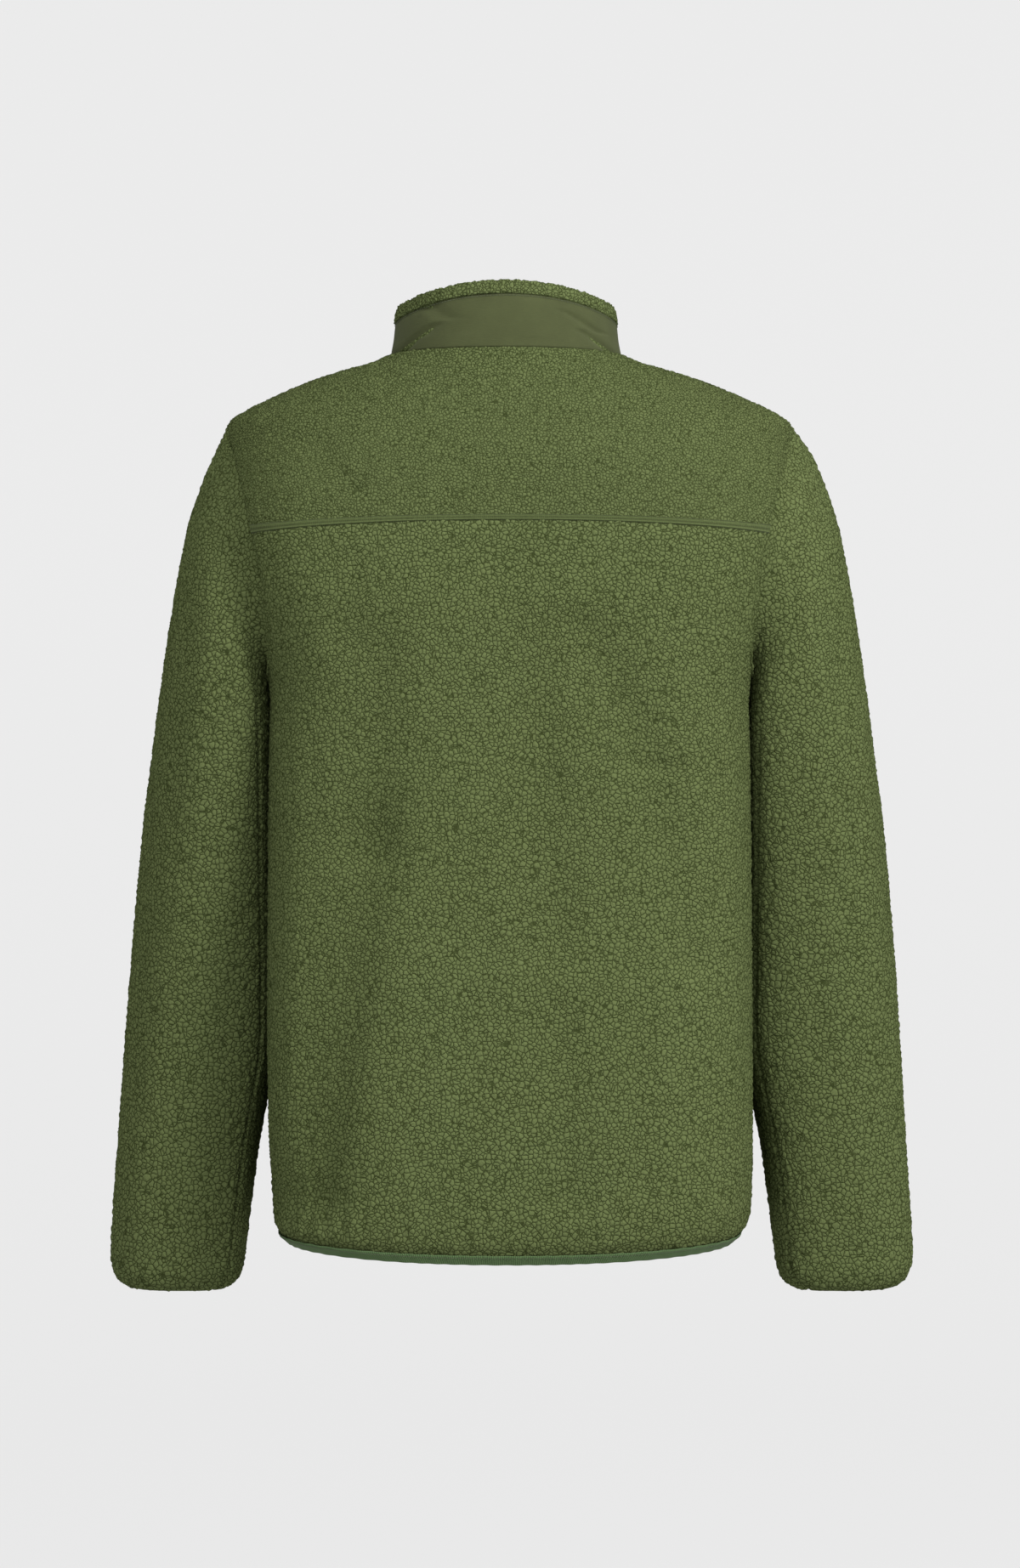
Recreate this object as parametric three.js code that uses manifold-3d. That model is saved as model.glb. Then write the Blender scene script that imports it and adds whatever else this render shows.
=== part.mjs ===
// Fleece jacket: a hip-length jacket of pebbled fleece with a full-length zip, a woven stand collar
// with a fleece inside, and a narrow elastic binding round the hem. It is filled out as if worn.
// Millimetres, +Z up. The front faces -Y and the wearer's left is +X.
// The origin is the middle of the neck hole, level with the side neck points.
import * as THREE from "three";
import { mergeVertices } from "three/addons/utils/BufferGeometryUtils.js";
import Module from "manifold-3d";

const wasm = await Module();
wasm.setup();

// Walls, seams and clearances
const FLEECE_WALL = 3.6;
const SHELL_WALL = 1.0;
const SEAM_GAP = 0.3;
const SLEEVE_CLEARANCE = 1.2;

// Levels up the body: the height at the side, and past the shoulder tip the way along the shoulder
const HEM_LEVEL = -682;
const BINDING_LEVEL = -674;
const PINCH_END_LEVEL = -667;
const CURL_LEVEL = -652;
const ARMPIT_LEVEL = -256;
const YOKE_LEVEL = -135;
const TIP_LEVEL = -53;
const NECK_LEVEL = 84.4;

// How far the armholes are cut into the back and the front, as angles round the body
const BACK_ARMHOLE_CUT = 0.44;
const FRONT_ARMHOLE_CUT = 0.46;

// Meshes
const BACK_COLUMNS = 12;
const FRONT_COLUMNS = 9;
const BODY_ROWS = 16;
const LOWER_ARMHOLE_ROWS = 6;
const UPPER_ARMHOLE_ROWS = 5;
const SHOULDER_ROWS = 6;
const SLEEVE_RINGS = 22;

// Hem binding, folded round the fleece's pinched edge
const HEM_PINCH = 1.6;
const BINDING_WALL = 1.2;

// Collar
const COLLAR_ROLL = 8;
const COLLAR_FLEECE_WALL = 4.0;
const ROLL_PROUD = 1.2;
const ROLL_ROUNDING = 2.5;
const ROLL_TOP = 1.4;
const COLLAR_LOWER_LINE = 16;
const COLLAR_UPPER_LINE = 22;

// Zip
const FRONT_OPENING = 7;
const CHAIN_HALF_WIDTH = 2.8;
const CHAIN_DEPTH = 2.6;
const TAPE_HALF_WIDTH = 17;
const TAPE_WALL = 0.8;
const ZIP_SETBACK = 4.9;
const COLLAR_ZIP_STATIONS = 5;
const CHAIN_BELOW_TOP = 7;
const TAPE_BELOW_TOP = 2;

// Slider and pull tab; up is along the zip and out is away from the jacket
const SLIDER_WIDTH = 11;
const SLIDER_LENGTH = 13;
const SLIDER_PLATE = 1.4;
const SLIDER_SLOT = 3.3;
const SLIDER_WEB = 5;
const BAIL_DOWN = 3.5;
const BAIL_HALF_LENGTH = 3.4;
const BAIL_WIRE = 1.0;
const BAIL_WIDTH = 1.6;
const PIVOT_OUT = 1.3;
const PULL_LENGTH = 26;
const PULL_WIDTH = 7;
const PULL_WALL = 1.2;
const PULL_BAR = 0.7;
const PULL_EYE_LENGTH = 4.2;
const PULL_EYE_WIDTH = 3;

const BACK = 1;
const FRONT = -1;

function table(columns, rows) {
  return rows.map((row) => Object.fromEntries(columns.map((name, i) => [name, row[i]])));
}

// Rings round the body, from the hem to the neck seam. A ring is a rounded oval whose height
// runs smoothly from the middle of the back or front to the side.
const RING_COLUMNS = [
  "level", "halfWidth", "backDepth", "frontDepth", "backZ", "sideZ", "frontZ", "fullness",
];
const TORSO_ROWS = table(RING_COLUMNS, [
  [HEM_LEVEL, 171, 119.5, 121, -681.5, -674.5, -681.5, 2.4],
  [BINDING_LEVEL, 177.5, 123.5, 125, -673.5, -667.5, -673.5, 2.4],
  [PINCH_END_LEVEL, 181, 125.5, 127, -667, -661.5, -667, 2.4],
  [CURL_LEVEL, 184, 127.5, 129, -652, -648, -652, 2.4],
  [-600, 185.5, 127.5, 129.5, -600, -599, -600, 2.4],
  [-500, 185.3, 124.5, 127, -500, -500, -500, 2.4],
  [-400, 184.8, 122, 125.5, -400, -400, -400, 2.4],
  [-300, 184.5, 124, 127, -300, -300, -300, 2.4],
  [ARMPIT_LEVEL, 184.5, 126, 128, -256, -256, -259, 2.4],
  [-207, 196, 128.5, 127.5, -207, -207, -224, 2.35],
  [-171, 205.5, 129.5, 125.5, -170, -171, -201, 2.35],
  [YOKE_LEVEL, 214, 128.5, 122, -132, -135, -179, 2.3],
  [-95, 218.8, 119.5, 117, -94, -95, -156, 2.2],
  [-75, 219.2, 112.5, 114, -76, -75, -145, 2.15],
  [TIP_LEVEL, 217, 102.5, 110, -57, -53, -133, 2.1],
  [-36.6, 204, 97.5, 107, -46.5, -43, -125, 2.05],
  [-12.1, 182, 91.5, 102, -35.5, -32.3, -114.5, 2],
  [14.6, 157.5, 85.5, 96.5, -25, -21.8, -103.5, 2],
  [47.8, 126, 79.5, 89.8, -14.5, -11.3, -91.5, 2],
  [68.1, 106.4, 76.3, 85.7, -8.8, -6.1, -84.5, 2],
  [NECK_LEVEL, 91, 74, 82, -4.5, 0, -78, 2],
]);

// Rings of the stand collar, from the neck seam to its top edge. The level is the share of its height.
const COLLAR_ROWS = table(RING_COLUMNS, [
  [0, 91, 74, 82, -4.5, 0, -78, 2],
  [0.3, 87.2, 72.3, 80.8, 12, 13, -57, 2],
  [0.7, 84.8, 70, 80, 34, 30, -30, 2],
  [1, 82.2, 67.5, 79, 51, 43.5, -9, 2],
]);

// Sections of the sleeve. Each is an oval between a point on its outer line and one on its inner
// line; down is the way along the outer line from the shoulder tip.
const SLEEVE_ROWS = table(
  ["down", "outerX", "outerZ", "innerX", "innerZ", "middleY", "halfDepth"],
  [
    [0, 217, -53, 185, -256, 0, 68],
    [33, 232, -82, 186, -260, -2, 71],
    [65, 243.5, -112, 186.5, -266, -5, 74],
    [109, 253.5, -155, 187, -277, -8, 77],
    [154, 261.6, -199.4, 187, -294, -12, 79],
    [205, 269.5, -249.5, 187, -320, -16, 79],
    [263, 277.5, -308, 187, -357, -20, 77],
    [318, 284.9, -362.3, 187.3, -398, -24, 73],
    [406, 293.5, -451.3, 187.6, -467, -29, 65],
    [481, 299.9, -527.2, 188.8, -531, -32, 58],
    [557, 305.8, -603.4, 195.2, -603.4, -35, 51],
    [612, 310, -659.3, 202.2, -659.3, -37, 45.5],
    [645, 311.8, -692.9, 206.4, -692.9, -38, 41],
    [658, 310.5, -706, 208.4, -706, -38, 39.5],
    [669, 305.6, -715.7, 212.9, -715.7, -38, 36],
    [680, 296, -721.7, 222, -721.7, -38, 30],
  ],
);
const OUTER_FULLNESS = 2.1;
const INNER_FULLNESS = 2.6;
const SLEEVE_BLEND = 90;
const SLEEVE_CROWDING = 0.6;

// Soft folds, each a trough from a top to a bottom point; a negative depth is a ridge
const FOLD_COLUMNS = [
  "topX", "topZ", "bottomX", "bottomZ", "topDepth", "bottomDepth", "topWidth", "bottomWidth",
];
const BACK_FOLDS = table(FOLD_COLUMNS, [
  [72, -195, 141, -665, 2.0, 5.5, 17, 30],
  [40, -280, 88, -650, -0.8, -2.4, 22, 30],
  [-32, -175, -32, -480, 1.6, 1.8, 16, 20],
  [-17, -550, -46, -655, 1.2, 2.2, 16, 20],
  [-80, -165, -152, -460, 2.0, 3.2, 17, 24],
  [-62, -190, -88, -470, -1.2, -1.6, 18, 24],
  [118, -145, 119, -235, 1.4, 1.4, 16, 16],
]);
const FRONT_FOLDS = table(FOLD_COLUMNS, [
  [92, -225, 132, -650, 1.6, 4.2, 17, 28],
  [64, -390, 66, -655, 1.0, 2.6, 16, 20],
  [-98, -250, -130, -640, 1.8, 3.8, 17, 27],
  [-60, -330, -66, -650, 1.0, 2.4, 16, 20],
]);

const COLOURS = {
  fleece: 0x57613b,
  collar: 0x606647,
  binding: 0x4e5f43,
  tape: 0x444a30,
  teeth: 0x3b4029,
  metal: 0x55564e,
};

const FOLD_FADE_IN = 0.2;
const FOLD_FADE_OUT = 0.12;

// The columns of a table at one place, by a smooth curve through its rows.
function readTable(rows, key, place) {
  let low = 0;
  while (low < rows.length - 2 && rows[low + 1][key] < place) low += 1;
  const before = rows[Math.max(low - 1, 0)];
  const start = rows[low];
  const end = rows[low + 1];
  const after = rows[Math.min(low + 2, rows.length - 1)];
  const span = end[key] - start[key];
  const t = (place - start[key]) / span;
  const found = {};
  for (const name of Object.keys(start)) {
    const startSlope = (end[name] - before[name]) / (end[key] - before[key]);
    const endSlope = (after[name] - start[name]) / (after[key] - start[key]);
    found[name] =
      start[name] * (1 + 2 * t) * (1 - t) ** 2 +
      startSlope * span * t * (1 - t) ** 2 +
      end[name] * t * t * (3 - 2 * t) +
      endSlope * span * t * t * (t - 1);
  }
  return found;
}

function range(count, from, to) {
  return Array.from({ length: count + 1 }, (_, i) => from + ((to - from) * i) / count);
}

// A point of a ring. The angle is 0 in the middle of the back or front and 90 degrees at the side.
function ringPoint(rows, half, angle, level) {
  const ring = readTable(rows, "level", level);
  const depth = half === BACK ? ring.backDepth : ring.frontDepth;
  const middleZ = half === BACK ? ring.backZ : ring.frontZ;
  const across = Math.sin(angle);
  const away = Math.max(1 - Math.abs(across) ** ring.fullness, 0) ** (1 / ring.fullness);
  return new THREE.Vector3(
    ring.halfWidth * across,
    half * depth * away * Math.sign(Math.cos(angle)),
    middleZ + (ring.sideZ - middleZ) * across * across,
  );
}

// The outward direction at a point of a ring, from its neighbours along and across the rings.
function ringNormal(rows, half, angle, level) {
  const angleStep = 0.01;
  const levelStep = (rows[rows.length - 1].level - rows[0].level) * 0.001;
  const along = ringPoint(rows, half, angle + angleStep, level);
  along.sub(ringPoint(rows, half, angle - angleStep, level));
  const up = ringPoint(rows, half, angle, level + levelStep);
  up.sub(ringPoint(rows, half, angle, level - levelStep));
  return up.cross(along).multiplyScalar(half).normalize();
}

function foldDepth(folds, point) {
  let depth = 0;
  for (const fold of folds) {
    const t = (fold.topZ - point.z) / (fold.topZ - fold.bottomZ);
    const fadeIn = THREE.MathUtils.smoothstep(t, 0, FOLD_FADE_IN);
    const fadeOut = THREE.MathUtils.smoothstep(1 - t, 0, FOLD_FADE_OUT);
    const middle = THREE.MathUtils.lerp(fold.topX, fold.bottomX, t);
    const width = THREE.MathUtils.lerp(fold.topWidth, fold.bottomWidth, t);
    const deep = THREE.MathUtils.lerp(fold.topDepth, fold.bottomDepth, t);
    depth += deep * fadeIn * fadeOut * Math.exp(-(((point.x - middle) / width) ** 2));
  }
  return depth;
}

// An outer point of the body's fleece, with its folds and the pinch under the hem binding.
function bodyFleece(half, angle, level) {
  const normal = ringNormal(TORSO_ROWS, half, angle, level);
  const point = ringPoint(TORSO_ROWS, half, angle, level);
  const fold = foldDepth(half === BACK ? BACK_FOLDS : FRONT_FOLDS, point);
  const pinchReach = PINCH_END_LEVEL - BINDING_LEVEL;
  const pinch = HEM_PINCH * THREE.MathUtils.smoothstep(PINCH_END_LEVEL - level, 0, pinchReach);
  const inner = point.clone().addScaledVector(normal, -fold - FLEECE_WALL);
  return { outer: point.addScaledVector(normal, -fold - pinch), inner };
}

// The armhole's edge at an angle round it: 0 at the shoulder tip and 180 degrees at the armpit.
function armholeEdge(half, turn) {
  const middle = (TIP_LEVEL + ARMPIT_LEVEL) / 2;
  const reach = (TIP_LEVEL - ARMPIT_LEVEL) / 2;
  const cut = half === BACK ? BACK_ARMHOLE_CUT : FRONT_ARMHOLE_CUT;
  return {
    angle: Math.PI / 2 - cut * Math.abs(Math.sin(turn)),
    level: middle + reach * Math.cos(turn),
  };
}

// The turns round the armhole at which the body's rows end, from the armpit to the shoulder tip.
const YOKE_TURN = Math.acos((2 * YOKE_LEVEL - TIP_LEVEL - ARMPIT_LEVEL) / (TIP_LEVEL - ARMPIT_LEVEL));
const ARMHOLE_TURNS = [
  ...range(LOWER_ARMHOLE_ROWS, Math.PI, YOKE_TURN),
  ...range(UPPER_ARMHOLE_ROWS, YOKE_TURN, 0).slice(1),
];

// Rows of the body's mesh: the level in the middle of the back or front, and the turn of the armhole.
function bodyRows() {
  const plain = (level) => ({ level, turn: null });
  const hem = [HEM_LEVEL, BINDING_LEVEL, PINCH_END_LEVEL, CURL_LEVEL].map(plain);
  const body = range(BODY_ROWS, CURL_LEVEL, ARMPIT_LEVEL).slice(1, -1).map(plain);
  const levels = [
    ...range(LOWER_ARMHOLE_ROWS, ARMPIT_LEVEL, YOKE_LEVEL),
    ...range(UPPER_ARMHOLE_ROWS, YOKE_LEVEL, TIP_LEVEL).slice(1),
  ];
  const armhole = levels.map((level, i) => ({ level, turn: ARMHOLE_TURNS[i] }));
  const shoulder = range(SHOULDER_ROWS, TIP_LEVEL, NECK_LEVEL).slice(1).map(plain);
  return [...hem, ...body, ...armhole, ...shoulder];
}

const ROWS = bodyRows();
const YOKE_ROW = ROWS.findIndex((row) => Math.abs(row.level - YOKE_LEVEL) < 1e-6);

// One row of points of the body, at shares from 0 in the middle to 1 (or -1) at the side edge.
function bodyRow(half, row, shares, startX) {
  const edge = row.turn === null ? { angle: Math.PI / 2, level: row.level } : armholeEdge(half, row.turn);
  return shares.map((share) => {
    const level = row.level + (edge.level - row.level) * share * share;
    const ring = readTable(TORSO_ROWS, "level", level);
    const start = Math.asin(startX / ring.halfWidth);
    const size = Math.abs(share);
    const angle = Math.sign(share) * (start + (edge.angle - start) * size);
    return bodyFleece(half, angle, level);
  });
}

function bodyGrid(half, rows, shares, startX) {
  const cells = rows.map((row) => bodyRow(half, row, shares, startX));
  return {
    outer: cells.map((line) => line.map((cell) => cell.outer)),
    inner: cells.map((line) => line.map((cell) => cell.inner)),
  };
}

// Draws the chosen edges of a grid in by half a seam gap, along its own lines.
function pullIn(points, edges) {
  const last = points.length - 1;
  const end = points[0].length - 1;
  const shift = (point, towards) => {
    const way = towards.clone().sub(point).setLength(SEAM_GAP / 2);
    point.add(way);
  };
  if (edges.bottom) points[0].forEach((point, i) => shift(point, points[1][i]));
  if (edges.top) points[last].forEach((point, i) => shift(point, points[last - 1][i]));
  if (edges.start) points.forEach((line) => shift(line[0], line[1]));
  if (edges.end) points.forEach((line) => shift(line[end], line[end - 1]));
}

// A closed wall between an outer and an inner grid of points. Its columns may wrap round a tube.
function closedWall(grid, wraps = false) {
  const rows = grid.outer.length;
  const columns = grid.outer[0].length;
  const points = [...grid.outer.flat(), ...grid.inner.flat()];
  const outer = (r, c) => r * columns + (c % columns);
  const inner = (r, c) => rows * columns + outer(r, c);
  const index = [];
  const quad = (a, b, c, d) => index.push(a, b, c, a, c, d);
  const end = columns - 1;
  const cells = wraps ? columns : end;
  for (let r = 0; r < rows - 1; r += 1) {
    for (let c = 0; c < cells; c += 1) {
      quad(outer(r, c), outer(r, c + 1), outer(r + 1, c + 1), outer(r + 1, c));
      quad(inner(r, c), inner(r + 1, c), inner(r + 1, c + 1), inner(r, c + 1));
    }
  }
  for (let c = 0; c < cells; c += 1) {
    quad(outer(0, c), inner(0, c), inner(0, c + 1), outer(0, c + 1));
    quad(outer(rows - 1, c), outer(rows - 1, c + 1), inner(rows - 1, c + 1), inner(rows - 1, c));
  }
  if (!wraps) {
    for (let r = 0; r < rows - 1; r += 1) {
      quad(outer(r, 0), outer(r + 1, 0), inner(r + 1, 0), inner(r, 0));
      quad(outer(r, end), inner(r, end), inner(r + 1, end), outer(r + 1, end));
    }
  }
  return facingOut(points, index);
}

// A geometry from points and triangles, turned so that its faces point outwards.
function facingOut(points, index) {
  let volume = 0;
  for (let i = 0; i < index.length; i += 3) {
    const [a, b, c] = [points[index[i]], points[index[i + 1]], points[index[i + 2]]];
    volume += a.dot(b.clone().cross(c));
  }
  const turned = volume > 0 ? index : index.slice().reverse();
  const geometry = new THREE.BufferGeometry();
  geometry.setFromPoints(points);
  geometry.setIndex(turned);
  geometry.computeVertexNormals();
  return geometry;
}

const group = new THREE.Group();
group.name = "fleece_jacket";

function addMesh(name, geometry, colour, roughness = 0.95, metalness = 0) {
  const material = new THREE.MeshStandardMaterial({ color: colour, roughness, metalness });
  material.side = THREE.DoubleSide;
  const mesh = new THREE.Mesh(geometry, material);
  mesh.name = name;
  group.add(mesh);
  return mesh;
}

function addPanel(name, grid, edges) {
  pullIn(grid.outer, edges);
  pullIn(grid.inner, edges);
  addMesh(name, closedWall(grid), COLOURS.fleece);
}

function addBody() {
  const across = range(2 * BACK_COLUMNS, -1, 1);
  const sides = { start: true, end: true };
  addPanel("back_body", bodyGrid(BACK, ROWS.slice(0, YOKE_ROW + 1), across, 0), { ...sides, top: true });
  const bothEnds = { ...sides, top: true, bottom: true };
  addPanel("back_yoke", bodyGrid(BACK, ROWS.slice(YOKE_ROW), across, 0), bothEnds);
  const left = bodyGrid(FRONT, ROWS, frontShares(1), FRONT_OPENING);
  const right = bodyGrid(FRONT, ROWS, frontShares(-1), FRONT_OPENING);
  addPanel("front_left", left, { end: true, top: true });
  addPanel("front_right", right, { end: true, top: true });
}

// Shares across one front, from the zip to the side; the first is just off zero to keep its side.
function frontShares(side) {
  return range(FRONT_COLUMNS, 0, 1).map((share) => side * Math.max(share, 1e-6));
}

// How far out the body reaches beside a point, or nothing where the armhole is open.
function bodyReach(point) {
  const level = THREE.MathUtils.clamp(point.z, HEM_LEVEL, TIP_LEVEL);
  const ring = readTable(TORSO_ROWS, "level", level);
  const depth = point.y > 0 ? ring.backDepth : ring.frontDepth;
  const share = Math.min(Math.abs(point.y) / depth, 1);
  const across = (1 - share ** ring.fullness) ** (1 / ring.fullness);
  const middle = (TIP_LEVEL + ARMPIT_LEVEL) / 2;
  const turn = Math.acos(THREE.MathUtils.clamp((level - middle) / (TIP_LEVEL - middle), -1, 1));
  const edge = armholeEdge(point.y > 0 ? BACK : FRONT, turn);
  return across > Math.sin(edge.angle) && level > ARMPIT_LEVEL ? 0 : ring.halfWidth * across;
}

function sleevePoint(down, turn) {
  const row = readTable(SLEEVE_ROWS, "down", down);
  const cos = Math.cos(turn);
  const sin = Math.sin(turn);
  const power = 2 / (cos > 0 ? OUTER_FULLNESS : INNER_FULLNESS);
  const out = Math.sign(cos) * Math.abs(cos) ** power;
  const back = Math.sign(sin) * Math.abs(sin) ** power;
  return new THREE.Vector3(
    (row.outerX + row.innerX) / 2 + ((row.outerX - row.innerX) / 2) * out,
    row.middleY + row.halfDepth * back,
    (row.outerZ + row.innerZ) / 2 + ((row.outerZ - row.innerZ) / 2) * out,
  );
}

// The armhole seen from the sleeve: its point, the body's outward direction and the way to the sleeve.
function armholeFrame(half, turn) {
  const at = (angle) => {
    const edge = armholeEdge(half, angle);
    return ringPoint(TORSO_ROWS, half, edge.angle, edge.level);
  };
  const edge = armholeEdge(half, turn);
  const point = at(turn);
  const normal = ringNormal(TORSO_ROWS, half, edge.angle, edge.level);
  const step = 0.02;
  const tangent = turn < step || turn > Math.PI - step
    ? new THREE.Vector3(0, 1, 0)
    : at(turn + step).sub(at(turn - step)).normalize();
  const away = tangent.cross(normal).normalize();
  const middle = at(0).add(at(Math.PI)).multiplyScalar(0.5);
  if (away.dot(middle.sub(point)) < 0) away.negate();
  return { point, normal, away };
}

// The sleeve's columns: the back from the armpit up to the shoulder tip, then the front back down.
const SLEEVE_COLUMNS = [
  ...ARMHOLE_TURNS.map((turn) => ({ half: BACK, turn })),
  ...ARMHOLE_TURNS.slice(1, -1).reverse().map((turn) => ({ half: FRONT, turn })),
];

function sleeveOuter() {
  const length = SLEEVE_ROWS[SLEEVE_ROWS.length - 1].down;
  const frames = SLEEVE_COLUMNS.map(({ half, turn }) => armholeFrame(half, turn));
  const start = frames.map(({ point, normal, away }, i) => {
    const lift = (SLEEVE_CLEARANCE * (1 - Math.cos(SLEEVE_COLUMNS[i].turn))) / 2;
    return point.clone().addScaledVector(away, SEAM_GAP / 2).addScaledVector(normal, lift);
  });
  const places = range(SLEEVE_RINGS, 0, 1).slice(1).map((share) => length * sleevePlace(share));
  const rings = places.map((down) =>
    SLEEVE_COLUMNS.map(({ half, turn }, i) => {
      const oval = sleevePoint(down, half * turn);
      const blend = THREE.MathUtils.smoothstep(down, 0, SLEEVE_BLEND);
      const point = start[i].clone().addScaledVector(frames[i].away, down / 3).lerp(oval, blend);
      point.x = Math.max(point.x, bodyReach(point) + SLEEVE_CLEARANCE);
      return point;
    }),
  );
  return { frames, outer: [start, ...rings] };
}

// Rings lie closer together at the armhole and at the curled cuff.
function sleevePlace(share) {
  return share - (SLEEVE_CROWDING * Math.sin(2 * Math.PI * share)) / (2 * Math.PI);
}

// Outward directions of a tube of points, from the neighbours of each.
function tubeNormals(points) {
  const last = points.length - 1;
  return points.map((line, r) =>
    line.map((_, c) => {
      const around = line[(c + 1) % line.length].clone().sub(line[(c + line.length - 1) % line.length]);
      const along = points[Math.min(r + 1, last)][c].clone().sub(points[Math.max(r - 1, 0)][c]);
      return around.cross(along).normalize();
    }),
  );
}

function addSleeves() {
  const { frames, outer } = sleeveOuter();
  const normals = tubeNormals(outer);
  const ring = outer[Math.floor(SLEEVE_RINGS / 2)];
  const ringNormals = normals[Math.floor(SLEEVE_RINGS / 2)];
  const middle = new THREE.Vector3();
  ring.forEach((point) => middle.addScaledVector(point, 1 / ring.length));
  const sign = Math.sign(ringNormals[0].dot(ring[0].clone().sub(middle)));
  normals[0].forEach((normal, i) => {
    const lean = Math.max(normal.dot(frames[i].away) * sign, 0);
    normal.addScaledVector(frames[i].away, -lean * sign).normalize();
  });
  const inner = outer.map((line, r) =>
    line.map((point, c) => point.clone().addScaledVector(normals[r][c], -sign * FLEECE_WALL)),
  );
  const mirrored = (points) => points.map((line) => line.map((p) => new THREE.Vector3(-p.x, p.y, p.z)));
  addMesh("sleeve_left", closedWall({ outer, inner }, true), COLOURS.fleece);
  const right = { outer: mirrored(outer), inner: mirrored(inner) };
  addMesh("sleeve_right", closedWall(right, true), COLOURS.fleece);
}

// Columns that run from one edge of the front opening round the back to the other.
function wholeWay() {
  const angles = (half, shares) => shares.map((share) => ({ half, share }));
  return [
    ...angles(FRONT, frontShares(1)),
    ...angles(BACK, range(2 * BACK_COLUMNS, 1, -1).slice(1, -1)),
    ...angles(FRONT, frontShares(-1).reverse()),
  ];
}

function columnAngle(rows, column, level) {
  const ring = readTable(rows, "level", level);
  const start = column.half === FRONT ? Math.asin(FRONT_OPENING / ring.halfWidth) : 0;
  return Math.sign(column.share) * (start + (Math.PI / 2 - start) * Math.abs(column.share));
}

// A point beside a ring: a way out along its normal and down along its surface.
function besideRing(rows, column, level, out, down = 0) {
  const angle = columnAngle(rows, column, level);
  const point = ringPoint(rows, column.half, angle, level);
  const step = (rows[rows.length - 1].level - rows[0].level) * 0.001;
  const below = ringPoint(rows, column.half, angle, level - step).sub(point).normalize();
  const normal = ringNormal(rows, column.half, angle, level);
  return point.addScaledVector(normal, out).addScaledVector(below, down);
}

function addBinding() {
  const outside = SEAM_GAP + BINDING_WALL;
  const inside = -FLEECE_WALL - SEAM_GAP;
  const top = BINDING_LEVEL - SEAM_GAP;
  const columns = wholeWay();
  const line = (level, out, down) => columns.map((c) => besideRing(TORSO_ROWS, c, level, out, down));
  const grid = {
    outer: [
      line(top, outside - HEM_PINCH, 0),
      line(HEM_LEVEL, outside - HEM_PINCH, outside),
      line(HEM_LEVEL, inside - BINDING_WALL, outside),
      line(top, inside - BINDING_WALL, 0),
    ],
    inner: [
      line(top, SEAM_GAP - HEM_PINCH, 0),
      line(HEM_LEVEL, SEAM_GAP - HEM_PINCH, SEAM_GAP),
      line(HEM_LEVEL, inside, SEAM_GAP),
      line(top, inside, 0),
    ],
  };
  addMesh("hem_binding", closedWall(grid), COLOURS.binding, 0.8);
}

function collarHeight(column) {
  const angle = columnAngle(COLLAR_ROWS, column, 0);
  const bottom = ringPoint(COLLAR_ROWS, column.half, angle, 0);
  return bottom.distanceTo(ringPoint(COLLAR_ROWS, column.half, angle, 1));
}

// A line of collar points: a way out from its surface, at a distance below its top edge.
function collarLine(out, { fromTop = 0, fromBottom = null }) {
  return wholeWay().map((column) => {
    const height = collarHeight(column);
    const level = fromBottom === null ? 1 - fromTop / height : fromBottom / height;
    return besideRing(COLLAR_ROWS, column, level, out);
  });
}

function addCollar() {
  const seam = SEAM_GAP / 2;
  const shellTop = COLLAR_ROLL + SEAM_GAP;
  const lower = [{ fromBottom: seam }, { fromBottom: COLLAR_LOWER_LINE }, { fromTop: COLLAR_UPPER_LINE }];
  const shellHeights = [...lower, { fromTop: shellTop }];
  const shell = {
    outer: shellHeights.map((height) => collarLine(0, height)),
    inner: shellHeights.map((height) => collarLine(-SHELL_WALL, height)),
  };
  addMesh("collar_shell", closedWall(shell), COLOURS.collar, 0.85);
  const against = -SHELL_WALL - SEAM_GAP;
  const within = against - COLLAR_FLEECE_WALL;
  const middle = (ROLL_PROUD + within) / 2;
  const fleece = {
    outer: [
      ...lower.map((height) => collarLine(against, height)),
      collarLine(against, { fromTop: COLLAR_ROLL }),
      collarLine(ROLL_PROUD, { fromTop: COLLAR_ROLL }),
      collarLine(ROLL_PROUD, { fromTop: ROLL_ROUNDING }),
      collarLine(middle + ROLL_TOP, { fromTop: 0 }),
    ],
    inner: [
      ...lower.map((height) => collarLine(within, height)),
      collarLine(within, { fromTop: COLLAR_ROLL + 1 }),
      collarLine(within, { fromTop: COLLAR_ROLL - 2 }),
      collarLine(within, { fromTop: ROLL_ROUNDING }),
      collarLine(middle - ROLL_TOP, { fromTop: 0 }),
    ],
  };
  addMesh("collar_fleece", closedWall(fleece), COLOURS.fleece);
}

// Stations of the zip up the middle of the front: a point, its outward direction and the half width
// of the tape, which is wide behind the fleece and narrow at the ends and between the collar's edges.
function zipStations(belowTop) {
  const frontHeight = collarHeight({ half: FRONT, share: 1e-6 });
  const narrow = FRONT_OPENING - 2 * SEAM_GAP;
  const station = (rows, level, reach) => ({
    point: ringPoint(rows, FRONT, 0, level),
    normal: ringNormal(rows, FRONT, 0, level),
    reach,
  });
  const behindFleece = ROWS.map((row) => row.level);
  const wide = behindFleece.filter((level) => level > BINDING_LEVEL + 4 && level < NECK_LEVEL - 4);
  const collar = range(COLLAR_ZIP_STATIONS, 2, frontHeight - belowTop);
  return [
    station(TORSO_ROWS, BINDING_LEVEL + 0.5, narrow),
    station(TORSO_ROWS, BINDING_LEVEL + 1, narrow),
    ...wide.map((level) => station(TORSO_ROWS, level, TAPE_HALF_WIDTH)),
    station(TORSO_ROWS, NECK_LEVEL - 4, TAPE_HALF_WIDTH),
    station(TORSO_ROWS, NECK_LEVEL - 1, narrow),
    ...collar.map((distance) => station(COLLAR_ROWS, distance / frontHeight, narrow)),
  ];
}

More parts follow.
